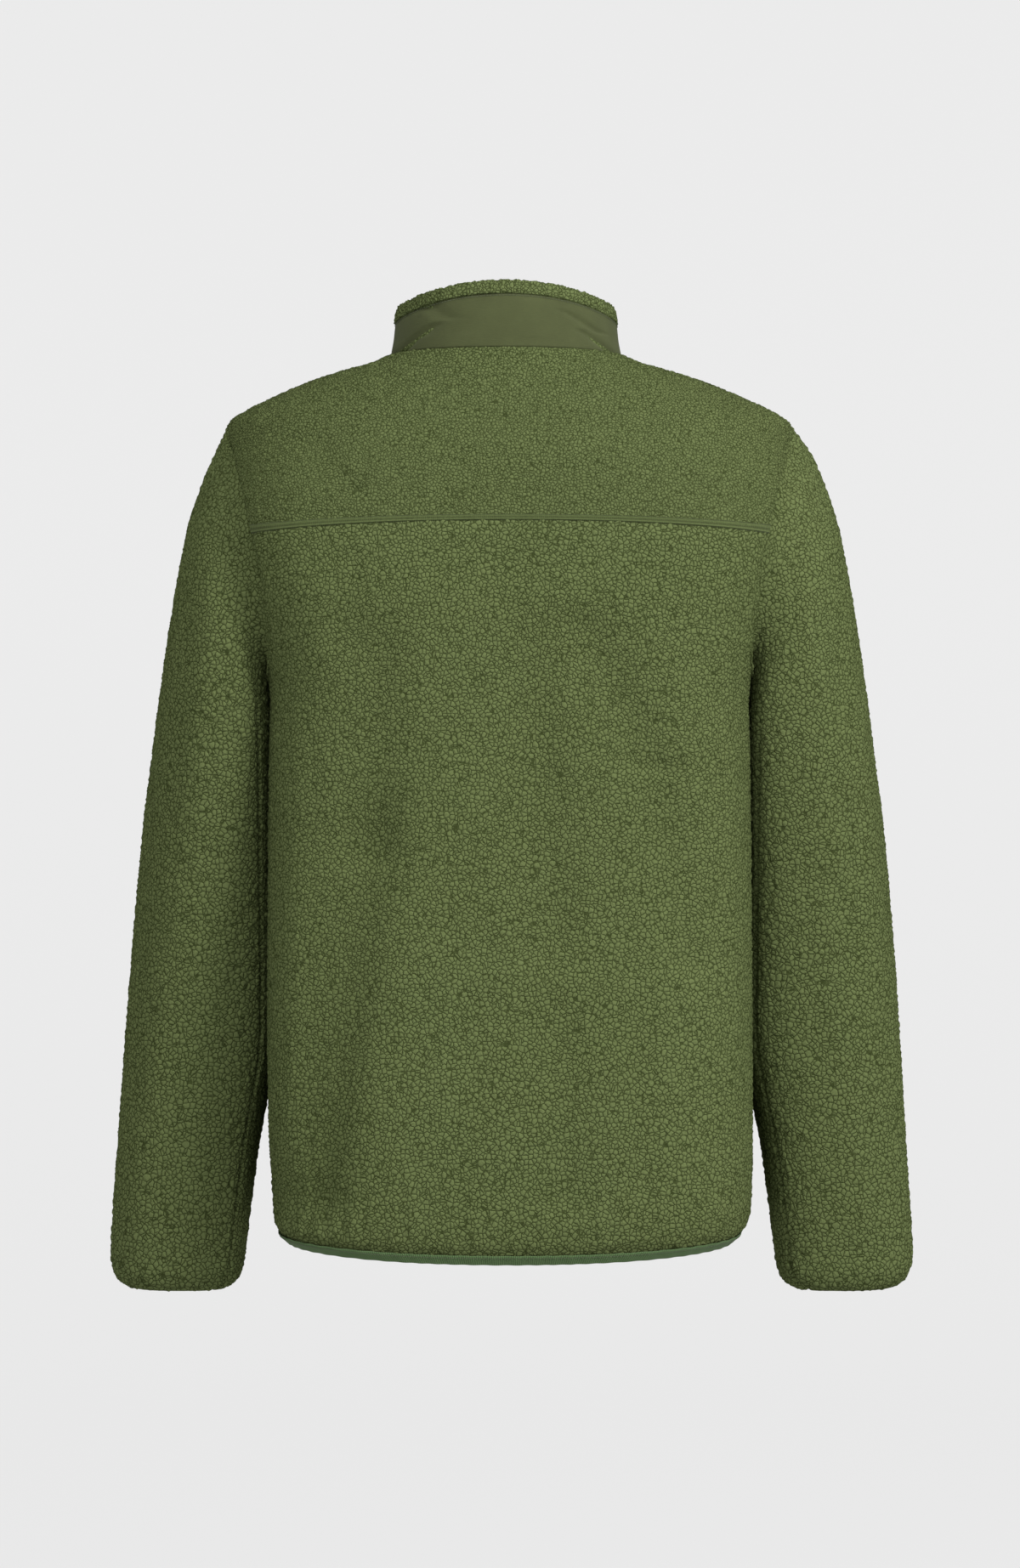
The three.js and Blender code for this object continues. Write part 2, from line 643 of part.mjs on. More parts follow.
// A strip along the zip, from one distance to another beside the middle, with a depth about the
// middle of the zip's own thickness.
function zipStrip(stations, insideX, outsideX, depth) {
  const line = (station, setback) =>
    [insideX, outsideX(station)].map((x) =>
      station.point.clone().addScaledVector(station.normal, -setback).setX(x),
    );
  return {
    outer: stations.map((station) => line(station, ZIP_SETBACK - depth / 2)),
    inner: stations.map((station) => line(station, ZIP_SETBACK + depth / 2)),
  };
}

function addZip() {
  const chainStations = zipStations(CHAIN_BELOW_TOP);
  const chain = zipStrip(chainStations, -CHAIN_HALF_WIDTH, () => CHAIN_HALF_WIDTH, CHAIN_DEPTH);
  addMesh("zip_chain", closedWall(chain), COLOURS.teeth, 0.5);
  const near = CHAIN_HALF_WIDTH + SEAM_GAP;
  const stations = zipStations(TAPE_BELOW_TOP);
  for (const [name, side] of [["zip_tape_left", 1], ["zip_tape_right", -1]]) {
    const tape = zipStrip(stations, side * near, (station) => side * station.reach, TAPE_WALL);
    addMesh(name, closedWall(tape), COLOURS.tape, 0.9);
  }
}

// A plate with rounded corners: its outline across and up, and its thickness out from a start.
function roundedPlate(width, bottom, top, thickness, start, corner) {
  const half = width / 2;
  const outline = new THREE.Shape();
  outline.moveTo(-half + corner, bottom);
  outline.lineTo(half - corner, bottom);
  outline.absarc(half - corner, bottom + corner, corner, -Math.PI / 2, 0);
  outline.lineTo(half, top - corner);
  outline.absarc(half - corner, top - corner, corner, 0, Math.PI / 2);
  outline.lineTo(-half + corner, top);
  outline.absarc(-half + corner, top - corner, corner, Math.PI / 2, Math.PI);
  outline.lineTo(-half, bottom + corner);
  outline.absarc(-half + corner, bottom + corner, corner, Math.PI, 1.5 * Math.PI);
  const settings = { depth: thickness, bevelEnabled: false, curveSegments: 4 };
  const geometry = new THREE.ExtrudeGeometry(outline, settings);
  return geometry.translate(0, 0, start);
}

function box(width, bottom, top, start, end) {
  const geometry = new THREE.BoxGeometry(width, top - bottom, end - start);
  return geometry.translate(0, (bottom + top) / 2, (start + end) / 2);
}

function solid(geometry) {
  const bare = geometry.clone();
  bare.deleteAttribute("normal");
  bare.deleteAttribute("uv");
  const merged = mergeVertices(bare, 1e-4);
  const vertProperties = new Float32Array(merged.attributes.position.array);
  const triVerts = new Uint32Array(merged.index.array);
  return new wasm.Manifold(new wasm.Mesh({ numProp: 3, vertProperties, triVerts }));
}

function geometryOf(made) {
  const mesh = made.getMesh();
  const geometry = new THREE.BufferGeometry();
  geometry.setAttribute("position", new THREE.BufferAttribute(mesh.vertProperties, 3));
  geometry.setIndex(new THREE.BufferAttribute(mesh.triVerts, 1));
  geometry.computeVertexNormals();
  return geometry;
}

// The slider: two plates joined by a web above the end of the chain, with a bail for the pull tab.
function sliderGeometry() {
  const webTop = 3;
  const bottom = webTop - SLIDER_LENGTH;
  const half = SLIDER_SLOT / 2;
  const face = half + SLIDER_PLATE;
  const body = solid(roundedPlate(SLIDER_WIDTH, bottom, webTop, 2 * face, -face, 2));
  const chainSlot = solid(box(SLIDER_WIDTH + 2, bottom - 1, SEAM_GAP, -half, half));
  const sideWidth = SLIDER_WIDTH / 2;
  const sideSlots = [-1, 1].map((side) =>
    solid(box(sideWidth, 0, webTop + 1, -half, half).translate((side * (SLIDER_WEB + sideWidth)) / 2, 0, 0)),
  );
  const bailMiddle = -BAIL_DOWN;
  const bailTop = face + 2 * PIVOT_OUT + BAIL_WIRE;
  const bail = solid(
    box(BAIL_WIDTH, bailMiddle - BAIL_HALF_LENGTH, bailMiddle + BAIL_HALF_LENGTH, face - 0.5, bailTop),
  );
  const inside = BAIL_HALF_LENGTH - BAIL_WIRE;
  const opening = solid(
    box(BAIL_WIDTH + 1, bailMiddle - inside, bailMiddle + inside, face, bailTop - BAIL_WIRE),
  );
  const slotted = body.subtract(chainSlot).subtract(sideSlots[0]).subtract(sideSlots[1]);
  return geometryOf(slotted.add(bail.subtract(opening)));
}

// The pull tab about its own crossbar, with an eye that the bail passes through.
function pullGeometry() {
  const tab = solid(roundedPlate(PULL_WIDTH, -PULL_LENGTH, PULL_BAR, PULL_WALL, -PULL_WALL / 2, 0.6));
  const eyeBottom = -PULL_BAR - PULL_EYE_LENGTH;
  const eye = solid(box(PULL_EYE_WIDTH, eyeBottom, -PULL_BAR, -PULL_WALL, PULL_WALL));
  return geometryOf(tab.subtract(eye));
}

function addSlider() {
  const stations = zipStations(CHAIN_BELOW_TOP);
  const end = stations[stations.length - 1];
  const up = end.point.clone().sub(stations[stations.length - 2].point).normalize();
  const across = new THREE.Vector3(1, 0, 0);
  const out = across.clone().cross(up);
  const place = new THREE.Matrix4().makeBasis(across, up, out);
  place.setPosition(end.point.clone().addScaledVector(out, -ZIP_SETBACK));
  const slider = addMesh("zip_slider", sliderGeometry(), COLOURS.metal, 0.45, 0.6);
  slider.applyMatrix4(place);
  const pivot = new THREE.Vector3(0, -BAIL_DOWN, SLIDER_SLOT / 2 + SLIDER_PLATE + PIVOT_OUT);
  const pull = addMesh("zip_pull", pullGeometry(), COLOURS.metal, 0.45, 0.6);
  pull.position.copy(pivot);
  pull.applyMatrix4(place);
}

addBody();
addSleeves();
addCollar();
addBinding();
addZip();
addSlider();

export default group;
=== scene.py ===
"""Fleece jacket: the pebbled fleece, the woven collar, the binding, the seams and the zip, dressed
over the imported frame, and the pale studio round it. Working sizes are millimetres in the frame's
own axes: +Z up, the front facing -Y, and the wearer's left at +X."""

import math

import bpy
import numpy as np
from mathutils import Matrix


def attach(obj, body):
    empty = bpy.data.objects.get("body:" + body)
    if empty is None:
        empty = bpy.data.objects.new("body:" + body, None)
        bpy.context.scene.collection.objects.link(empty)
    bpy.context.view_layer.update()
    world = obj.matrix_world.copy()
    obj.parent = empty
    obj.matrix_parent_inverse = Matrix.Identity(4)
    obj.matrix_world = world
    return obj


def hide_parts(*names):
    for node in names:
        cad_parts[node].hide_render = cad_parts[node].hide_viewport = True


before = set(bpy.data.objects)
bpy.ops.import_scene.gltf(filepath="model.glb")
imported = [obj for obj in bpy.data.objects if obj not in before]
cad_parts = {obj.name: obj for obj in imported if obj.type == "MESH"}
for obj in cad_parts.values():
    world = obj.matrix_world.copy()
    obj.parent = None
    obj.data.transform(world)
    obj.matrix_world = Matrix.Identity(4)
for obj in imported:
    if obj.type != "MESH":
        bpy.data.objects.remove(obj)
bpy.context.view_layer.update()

bl_info = {
    "name": "Fleece Jacket",
    "version": (1, 0, 0),
    "blender": (4, 5, 0),
    "location": "View3D > Sidebar > Jacket",
    "description": "Builds the cloth, seams and zip of a fleece jacket over its packed frame",
    "category": "Add Mesh",
}

METRES = 0.001
BACK = 1
FRONT = -1

# Levels up the body, as the height at the side and, past the shoulder tip, the way to the neck
HEM_LEVEL = -682.0
BINDING_LEVEL = -674.0
PINCH_END_LEVEL = -667.0
ARMPIT_LEVEL = -256.0
YOKE_LEVEL = -135.0
TIP_LEVEL = -53.0
NECK_LEVEL = 84.4
BACK_ARMHOLE_CUT = 0.44
FRONT_ARMHOLE_CUT = 0.46

FLEECE_WALL = 3.6
SHELL_WALL = 1.0
SEAM_GAP = 0.3
CLOTH_GAP = 0.1
SLEEVE_CLEARANCE = 1.2
SLEEVE_TOUCH = -0.25
HEM_PINCH = 1.6
BINDING_WALL = 1.2
COLLAR_ROLL = 9.8
COLLAR_FLEECE_WALL = 4.0
ROLL_PROUD = 1.7
ROLL_DROP = 3.5
FRONT_OPENING = 7.0
CHAIN_HALF_WIDTH = 2.8
CHAIN_DEPTH = 2.6
TAPE_HALF_WIDTH = 17.0
TAPE_WALL = 0.8
ZIP_SETBACK = 4.9
CHAIN_BELOW_TOP = 7.0
TAPE_BELOW_TOP = 2.0

# Rings round the body: level, half width, depth behind and in front, then the height in the
# middle of the back, at the side and in the middle of the front, and the oval's fullness
TORSO_ROWS = np.array(
    [
        [HEM_LEVEL, 171, 119.5, 121, -684.6, -676.2, -683.2, 2.4],
        [BINDING_LEVEL, 177.8, 123.5, 125, -677.8, -669.6, -676.2, 2.4],
        [PINCH_END_LEVEL, 181.4, 125.5, 127, -669.8, -662.6, -669, 2.4],
        [-652, 184, 127.5, 129, -652, -648, -652, 2.4],
        [-600, 185.5, 127.5, 129.5, -600, -599, -600, 2.4],
        [-500, 185.3, 124.5, 127, -500, -500, -500, 2.4],
        [-400, 184.8, 122, 125.5, -400, -400, -400, 2.4],
        [-300, 184.5, 124, 127, -300, -300, -300, 2.4],
        [ARMPIT_LEVEL, 184.5, 126, 128, -256, -256, -259, 2.4],
        [-207, 196, 128.5, 127.5, -207, -207, -224, 2.35],
        [-171, 205.5, 129.5, 125.5, -170, -173.5, -201, 2.35],
        [YOKE_LEVEL, 214, 128.5, 122, -132, -140, -179, 2.3],
        [-95, 218.8, 119.5, 117, -94, -97, -156, 2.2],
        [-75, 219.2, 112.5, 114, -76, -75, -145, 2.15],
        [TIP_LEVEL, 217, 102.5, 110, -57, -53, -133, 2.1],
        [-36.6, 204, 97.5, 107, -46.5, -43, -125, 2.05],
        [-12.1, 182, 91.5, 102, -35.5, -32.3, -114.5, 2],
        [14.6, 157.5, 85.5, 96.5, -25, -21.8, -103.5, 2],
        [47.8, 125.4, 79.5, 89.8, -13, -11.3, -91.5, 2],
        [68.1, 104.8, 76.3, 85.7, -6.2, -6.1, -84.5, 2],
        [NECK_LEVEL, 88.8, 74, 82, -0.8, 0, -78, 2],
    ]
)

# Rings of the collar, with the share of its height in place of the level
COLLAR_ROWS = np.array(
    [
        [0, 88.8, 74, 82, -0.8, 0, -78, 2],
        [0.3, 86.2, 72.3, 80.8, 14, 11.6, -57, 2],
        [0.7, 84.8, 70, 80, 34, 26.8, -30, 2],
        [1, 82.4, 67.5, 79, 51, 38.2, -9, 2],
    ]
)

# Sections of the sleeve: the way down it, its outer and inner point, its middle and half depth
SLEEVE_ROWS = np.array(
    [
        [0, 217, -53, 185, -256, 0, 68],
        [33, 232, -82, 186, -260, -2, 71],
        [65, 243.5, -112, 186.5, -266, -5, 74],
        [109, 253.5, -155, 187, -277, -8, 77],
        [154, 261.6, -199.4, 187, -294, -12, 79],
        [205, 269.5, -249.5, 187, -320, -16, 79],
        [263, 277.5, -308, 187, -357, -20, 77],
        [318, 284.9, -362.3, 187.3, -398, -24, 73],
        [406, 293.5, -451.3, 187.6, -467, -29, 65],
        [481, 299.9, -527.2, 188.8, -531, -32, 58],
        [557, 305.8, -603.4, 195.2, -603.4, -35, 51],
        [612, 310, -659.3, 202.2, -659.3, -37, 45.5],
        [645, 311.8, -692.9, 206.4, -692.9, -38, 41],
        [658, 310.5, -706, 208.4, -706, -38, 39.5],
        [669, 305.6, -715.7, 212.9, -715.7, -38, 36],
        [680, 296, -721.7, 222, -721.7, -38, 30],
    ]
)
OUTER_FULLNESS = 2.1
INNER_FULLNESS = 2.6
PRESSED_FULLNESS = 0.9
SLEEVE_BLEND = 90.0

# How much squarer and flatter the cloth of the back hangs than its plain oval
BACK_FULLNESS = 1.1
BACK_FLATNESS = 0.05

# The back of the neck sits a little to the wearer's left
COLLAR_LEAN = 3.2

# Valleys beside the seams: depth, and the width over which each side rises out of it
ARMHOLE_VALLEY = 3.0
ARMHOLE_VALLEY_WIDTH = 15.0
EDGE_DIP = 0.7
NECK_LIP = 0.9
SEAM_VALLEY = 0.3
SEAM_VALLEY_WIDTH = 6.0

# How much tighter the pile's pattern is for each metre of height
PILE_GROWTH = 0.18

# How much wider a tuft of the raised pile is than a pebble
PILE_TUFT = 1.5

# Soft folds of the body, from a top to a bottom point: x, z, x, z, depth above and below, width
# above and below. A negative depth is a ridge.
BACK_FOLDS = np.array(
    [
        [98, -190, 102, -400, 3.6, 5.4, 23, 25],
        [94, -310, 154, -676, 4.6, 12.0, 26, 31],
        [160, -230, 170, -650, -1.5, -3.0, 14, 14],
        [-12, -180, -36, -480, 3.2, 3.8, 22, 26],
        [-38, -470, -44, -655, 2.8, 3.2, 24, 26],
        [-46, -190, -114, -330, 3.8, 4.8, 24, 26],
        [-108, -300, -136, -480, 4.6, 3.8, 26, 28],
        [-86, -400, -96, -650, 2.0, 2.2, 22, 24],
        [118, -145, 119, -235, 2.0, 1.8, 16, 16],
        [150, -62, 118, -118, 2.4, 1.8, 16, 18],
        [18, -420, 26, -560, 1.2, 1.4, 13, 17],
    ]
)
FRONT_FOLDS = np.array(
    [
        [92, -225, 132, -650, 1.6, 4.2, 17, 28],
        [64, -390, 66, -655, 1.0, 2.6, 16, 20],
        [-98, -250, -130, -640, 1.8, 3.8, 17, 27],
        [-60, -330, -66, -650, 1.0, 2.4, 16, 20],
        [128, -120, 96, -200, 1.0, 1.3, 14, 18],
        [-126, -118, -102, -210, 1.1, 1.2, 14, 17],
        [34, -470, 40, -640, 0.8, 1.2, 11, 14],
    ]
)
FOLD_FADE_IN = 0.2
FOLD_LEAN = 0.2

# Painted shade in the troughs of the folds: the trough's depth at which it is full, and how much darker it
# paints the fleece there
FULL_SHADE_DEPTH = 12.0
FOLD_PAINTED_SHADE = 0.18
FOLD_FADE_OUT = 0.12

# Soft folds of the sleeves: way down and degrees round at each end, depths, and widths. The
# degrees are 0 along the outer line, and rise over the back to 180 at the inner line.
LEFT_SLEEVE_FOLDS = np.array(
    [
        [60, 52, 360, 66, 1.0, 1.8, 14, 18],
        [250, 30, 560, 38, 1.0, 1.4, 13, 16],
        [420, 82, 640, 74, 1.2, 1.6, 12, 14],
        [150, -70, 520, -86, 1.4, 2.0, 16, 18],
        [320, -30, 620, -42, 1.0, 1.5, 14, 16],
        [180, 110, 300, 84, 1.4, 0.8, 11, 10],
    ]
)
RIGHT_SLEEVE_FOLDS = np.array(
    [
        [70, 36, 470, 44, -1.4, -1.2, 11, 14],
        [80, 58, 420, 66, 1.2, 1.6, 13, 16],
        [250, 78, 360, 60, 1.6, 0.9, 9, 10],
        [330, 84, 430, 62, 1.5, 0.9, 9, 10],
        [450, 40, 640, 52, 1.0, 1.5, 12, 14],
        [140, -66, 540, -82, 1.4, 2.0, 16, 18],
        [300, -28, 610, -40, 1.0, 1.4, 14, 16],
    ]
)

# Creases of the woven collar, as x, z, x, z, depth above and below, width above and below
COLLAR_CREASES = np.array(
    [
        [50, 22, 88, -4, 1.5, 3.0, 5, 8],
        [62, 12, 90, -10, -1.0, -1.6, 4, 5],
        [72, 40, 44, 20, 1.8, 1.2, 10, 9],
        [-50, 16, -80, -2, 1.5, 2.4, 4, 5],
        [-36, 30, -70, 12, 1.0, 1.6, 4, 5],
        [20, 38, 34, 8, 0.5, 0.6, 7, 9],
        [-10, 40, -16, 4, -0.5, -0.4, 12, 12],
    ]
)


def read_table(rows, places):
    """The columns of a table at any places: a smooth cubic curve through its rows, whose slope
    at a row is that of the straight line between the rows on either side of it."""
    keys = rows[:, 0]
    last = len(keys) - 1
    low = np.searchsorted(keys[1:last], places, side="left")
    before = np.maximum(low - 1, 0)
    end = low + 1
    after = np.minimum(low + 2, last)
    span = (keys[end] - keys[low])[..., None]
    t = (places - keys[low])[..., None] / span
    start_slope = (rows[end] - rows[before]) / (keys[end] - keys[before])[..., None]
    end_slope = (rows[after] - rows[low]) / (keys[after] - keys[low])[..., None]
    return (
        rows[low] * (1 + 2 * t) * (1 - t) ** 2
        + start_slope * span * t * (1 - t) ** 2
        + rows[end] * t * t * (3 - 2 * t)
        + end_slope * span * t * t * (t - 1)
    )


def smooth_step(values, low, high):
    """Rises from 0 at low to 1 at high as 3t squared less 2t cubed."""
    t = np.clip((values - low) / (high - low), 0, 1)
    return t * t * (3 - 2 * t)


def unit(vectors):
    return vectors / np.maximum(np.linalg.norm(vectors, axis=-1, keepdims=True), 1e-12)


def ring_form(ring, half, level):
    """The depth of a ring's oval and how full it is: behind, below the shoulders, the cloth
    hangs flatter across and squarer than the plain oval."""
    flat = (half > 0) * (1 - smooth_step(level, -140, -60))
    depth = np.where(half > 0, ring[..., 2], ring[..., 3]) * (1 - BACK_FLATNESS * flat)
    return depth, ring[..., 7] + BACK_FULLNESS * flat


def ring_point(rows, half, angle, level):
    """A point of a ring: x is the half width times the angle's sine, y is the depth times the
    superellipse of that sine, and z runs from the middle to the side with the sine squared."""
    ring = read_table(rows, level)
    depth, power = ring_form(ring, half, np.asarray(level))
    middle = np.where(half > 0, ring[..., 4], ring[..., 6])
    across = np.sin(angle)
    inside = np.maximum(1 - np.abs(across) ** power, 0)
    away = inside ** (1 / power)
    x = ring[..., 1] * across
    y = half * depth * away * np.sign(np.cos(angle))
    z = middle + (ring[..., 5] - middle) * across**2
    x = x + COLLAR_LEAN * smooth_step(z, -70, -5) * smooth_step(y, -50, 10)
    return np.stack([x, y, z], axis=-1)


def ring_normal(rows, half, angle, level):
    """The outward direction at a point of a ring: up the rings crossed with along the ring."""
    turn = 0.01
    rise = (rows[-1, 0] - rows[0, 0]) * 0.001
    after = ring_point(rows, half, angle + turn, level)
    along = after - ring_point(rows, half, angle - turn, level)
    up = ring_point(rows, half, angle, level + rise) - ring_point(rows, half, angle, level - rise)
    return unit(np.cross(up, along) * np.asarray(half)[..., None])


def fold_depth(folds, x, z, lean=0.0):
    """The depth of all folds at points: each a bell across its line, whose middle, width and
    depth run evenly from its top to its bottom, and which fades in and out at its two ends. A
    lean makes the side towards positive x gentler and the other steeper."""
    depth = np.zeros_like(x)
    for top_x, top_z, end_x, end_z, top_deep, end_deep, top_wide, end_wide in folds:
        t = (top_z - z) / (top_z - end_z)
        fade = smooth_step(t, 0, FOLD_FADE_IN) * smooth_step(1 - t, 0, FOLD_FADE_OUT)
        middle = top_x + (end_x - top_x) * t
        width = np.maximum(top_wide + (end_wide - top_wide) * t, 1)
        width = width * (1 + lean * np.sign(x - middle))
        deep = top_deep + (end_deep - top_deep) * t
        depth += deep * fade * np.exp(-(((x - middle) / width) ** 2))
    return depth


def hem_ripples(x, z):
    """Small upright ripples drawn up by the elastic: an uneven wave across, strongest just above
    the binding and gone a few centimetres higher."""
    wave = np.sin(2 * np.pi * x / 14.2 + 0.9 * np.sin(x / 31)) + 0.5 * np.sin(x / 3.6 + 1.7)
    rise = smooth_step(z, -672, -660) * (1 - smooth_step(z, -656, -612))
    return 0.45 * wave * rise


def armhole_edge(half, turn):
    """The armhole's edge as an angle round the body and a level, from 0 at the tip of the
    shoulder to half a turn at the armpit."""
    cut = np.where(half > 0, BACK_ARMHOLE_CUT, FRONT_ARMHOLE_CUT)
    angle = np.pi / 2 - cut * np.abs(np.sin(turn))
    level = (TIP_LEVEL + ARMPIT_LEVEL) / 2 + (TIP_LEVEL - ARMPIT_LEVEL) / 2 * np.cos(turn)
    return angle, level


def armhole_valley(ways, level):
    """How far the sleeve dips under the body's edge: a soft bell of the way down from the
    armhole, gone at the shoulder's tip and at the armpit."""
    beside = smooth_step(level, -250, -200) * (1 - smooth_step(level, -74, -50))
    return ARMHOLE_VALLEY * beside * np.exp(-((ways / ARMHOLE_VALLEY_WIDTH) ** 2))


YOKE_TURN = math.acos((2 * YOKE_LEVEL - TIP_LEVEL - ARMPIT_LEVEL) / (TIP_LEVEL - ARMPIT_LEVEL))


def row_edges(half, levels):
    """Where each row of a panel ends at the side: on the side seam below the armpit, on the
    armhole beside it, and on the shoulder seam above it."""
    turn = np.interp(levels, [ARMPIT_LEVEL, YOKE_LEVEL, TIP_LEVEL], [np.pi, YOKE_TURN, 0])
    angle, level = armhole_edge(half, turn)
    beside = (levels > ARMPIT_LEVEL) & (levels < TIP_LEVEL)
    return np.where(beside, angle, np.pi / 2), np.where(beside, level, levels)


def spaced(start, end, step, near_start=(), near_end=()):
    """Places from start to end at an even step, with closer ones at given ways in from an end."""
    count = max(int(round(abs(end - start) / step)), 1)
    sign = 1 if end > start else -1
    places = np.linspace(start, end, count + 1)
    extra = [start + sign * way for way in near_start] + [end - sign * way for way in near_end]
    return np.sort(np.concatenate([places, extra]))[::sign]


def fitted(places, group):
    """The same places with a few more halfway, so that their cells divide into whole groups."""
    places = np.asarray(places, dtype=float)
    missing = -(len(places) - 1) % group
    gaps = np.argsort(-np.abs(np.diff(places)), kind="stable")[:missing]
    gaps = np.sort(gaps)
    return np.insert(places, gaps + 1, (places[gaps] + places[gaps + 1]) / 2)


def edge_ways(points, edges):
    """The way in from each chosen edge of a grid, measured along its own lines."""
    shape = points.shape[:2]
    ways = np.full(shape, 1e3)
    along = np.linalg.norm(np.diff(points, axis=0), axis=-1)
    across = np.linalg.norm(np.diff(points, axis=1), axis=-1)
    up = np.concatenate([np.zeros((1, shape[1])), np.cumsum(along, axis=0)])
    side = np.concatenate([np.zeros((shape[0], 1)), np.cumsum(across, axis=1)], axis=1)
    if "bottom" in edges:
        ways = np.minimum(ways, up)
    if "top" in edges:
        ways = np.minimum(ways, up[-1:] - up)
    if "start" in edges:
        ways = np.minimum(ways, side)
    if "end" in edges:
        ways = np.minimum(ways, side[:, -1:] - side)
    return ways


def grid_faces(rows, columns, wraps=False):
    r = np.arange(rows - 1)[:, None] * columns
    c = np.arange(columns if wraps else columns - 1)[None, :]
    c_next = (c + 1) % columns
    corners = [r + c, r + c_next, r + columns + c_next, r + columns + c]
    return np.stack(corners, axis=-1).reshape(-1, 4)


def rim_faces(fine, coarse, group):
    """Faces that close a wall along an edge: each takes a group of the fine line's cells, in its
    order, and one cell of the coarse line."""
    starts = np.arange(len(coarse) - 1)[:, None] * group
    outer = fine[starts + np.arange(group + 1)[None, :]]
    return np.concatenate([outer, coarse[1:, None], coarse[:-1, None]], axis=1)


def closed_shell(outer, inner, group, wraps=False):
    """Points and faces of a closed wall between a fine outer grid and an inner grid that has one
    point for each group of cells of the outer one. Its columns may wrap round a tube."""
    rows, columns = outer.shape[:2]
    inner_rows, inner_columns = inner.shape[:2]
    fine = np.arange(rows * columns).reshape(rows, columns)
    coarse = np.arange(inner_rows * inner_columns).reshape(inner_rows, inner_columns)
    coarse = coarse + rows * columns
    if wraps:
        fine_line = np.concatenate([fine, fine[:, :1]], axis=1)
        coarse_line = np.concatenate([coarse, coarse[:, :1]], axis=1)
    else:
        fine_line, coarse_line = fine, coarse
    faces = [
        grid_faces(rows, columns, wraps),
        grid_faces(inner_rows, inner_columns, wraps)[:, ::-1] + rows * columns,
        rim_faces(fine_line[0], coarse_line[0], group)[:, ::-1],
        rim_faces(fine_line[-1], coarse_line[-1], group),
    ]
    if not wraps:
        faces.append(rim_faces(fine[:, 0], coarse[:, 0], group))
        faces.append(rim_faces(fine[:, -1], coarse[:, -1], group)[:, ::-1])
    points = np.concatenate([outer.reshape(-1, 3), inner.reshape(-1, 3)])
    return points, facing_out(points, faces)


def facing_out(points, faces):
    """The same faces, all turned over if the volume that they close is negative."""
    volume = 0.0
    for corners in faces:
        a = points[corners[:, 0]]
        for i in range(1, corners.shape[1] - 1):
            volume += np.sum(a * np.cross(points[corners[:, i]], points[corners[:, i + 1]]))
    return faces if volume > 0 else [corners[:, ::-1] for corners in faces]


def swept(profiles, wraps_profile=True):
    """Points and faces of a profile carried along a path: profiles is stations by profile points.
    A closed profile makes a tube, whose two ends are closed by one face each."""
    stations, count = profiles.shape[:2]
    points = profiles.reshape(-1, 3)
    faces = [grid_faces(stations, count, wraps_profile)]
    first = np.arange(count)[None, ::-1]
    last = np.arange(count)[None, :] + (stations - 1) * count
    return points, facing_out(points, faces + [first, last])


def make_piece(name, points, faces, body="jacket", marks=None):
    """A mesh object from points in millimetres and arrays of faces, with any marks that its
    finish reads: arrays of one number or three a point."""
    mesh = bpy.data.meshes.new(name)
    mesh.vertices.add(len(points))
    mesh.vertices.foreach_set("co", (points * METRES).astype(np.float32).ravel())
    corners = np.concatenate([np.asarray(f).ravel() for f in faces]).astype(np.int32)
    sizes = np.concatenate([np.full(len(f), np.asarray(f).shape[1]) for f in faces])
    starts = np.concatenate([[0], np.cumsum(sizes)[:-1]]).astype(np.int32)
    mesh.loops.add(len(corners))
    mesh.loops.foreach_set("vertex_index", corners)
    mesh.polygons.add(len(sizes))
    mesh.polygons.foreach_set("loop_start", starts)
    mesh.update(calc_edges=True)
    mesh.shade_smooth()
    for key, values in (marks or {}).items():
        values = np.asarray(values, dtype=np.float32)
        vector = values.ndim == 2
        mark = mesh.attributes.new(key, "FLOAT_VECTOR" if vector else "FLOAT", "POINT")
        mark.data.foreach_set("vector" if vector else "value", values.ravel())
    piece = bpy.data.objects.new(name, mesh)
    bpy.context.scene.collection.objects.link(piece)
    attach(piece, body)
    return piece


class Value:
    """A number that varies over a surface. Sums and products of such values add Math nodes."""

    def __init__(self, tree, socket):
        self.tree = tree
        self.socket = socket

    def maths(self, operation, first, second=0.0):
        return output(self.tree, "ShaderNodeMath", {"operation": operation}, {0: first, 1: second})

    def __add__(self, other):
        return self.maths("ADD", self, other)

    def __radd__(self, other):
        return self.maths("ADD", other, self)

    def __sub__(self, other):
        return self.maths("SUBTRACT", self, other)

    def __rsub__(self, other):
        return self.maths("SUBTRACT", other, self)

    def __mul__(self, other):
        return self.maths("MULTIPLY", self, other)

    def __rmul__(self, other):
        return self.maths("MULTIPLY", other, self)

    def __truediv__(self, other):
        return self.maths("DIVIDE", self, other)

    def __rtruediv__(self, other):
        return self.maths("DIVIDE", other, self)

    def __pow__(self, other):
        return self.maths("POWER", self, other)

    def __abs__(self):
        return self.maths("ABSOLUTE", self)

    def sine(self):
        return self.maths("SINE", self)

    def least(self, other):
        return self.maths("MINIMUM", self, other)

    def most(self, other):
        return self.maths("MAXIMUM", self, other)

    def between(self, low, high):
        """Rises smoothly from 0 at low to 1 at high."""
        settings = {"interpolation_type": "SMOOTHSTEP"}
        return output(
            self.tree, "ShaderNodeMapRange", settings, {"Value": self, "From Min": low, "From Max": high}
        )


def node(tree, kind, settings=None, links=None):
    """Adds a node of any kind: its settings first, then the values or links of its sockets."""
    made = tree.nodes.new(kind)
    for name, value in (settings or {}).items():
        setattr(made, name, value)
    for name, value in (links or {}).items():
        if isinstance(value, Value):
            tree.links.new(value.socket, made.inputs[name])
        else:
            made.inputs[name].default_value = value
    return made


def output(tree, kind, settings=None, links=None, name=0):
    return Value(tree, node(tree, kind, settings, links).outputs[name])


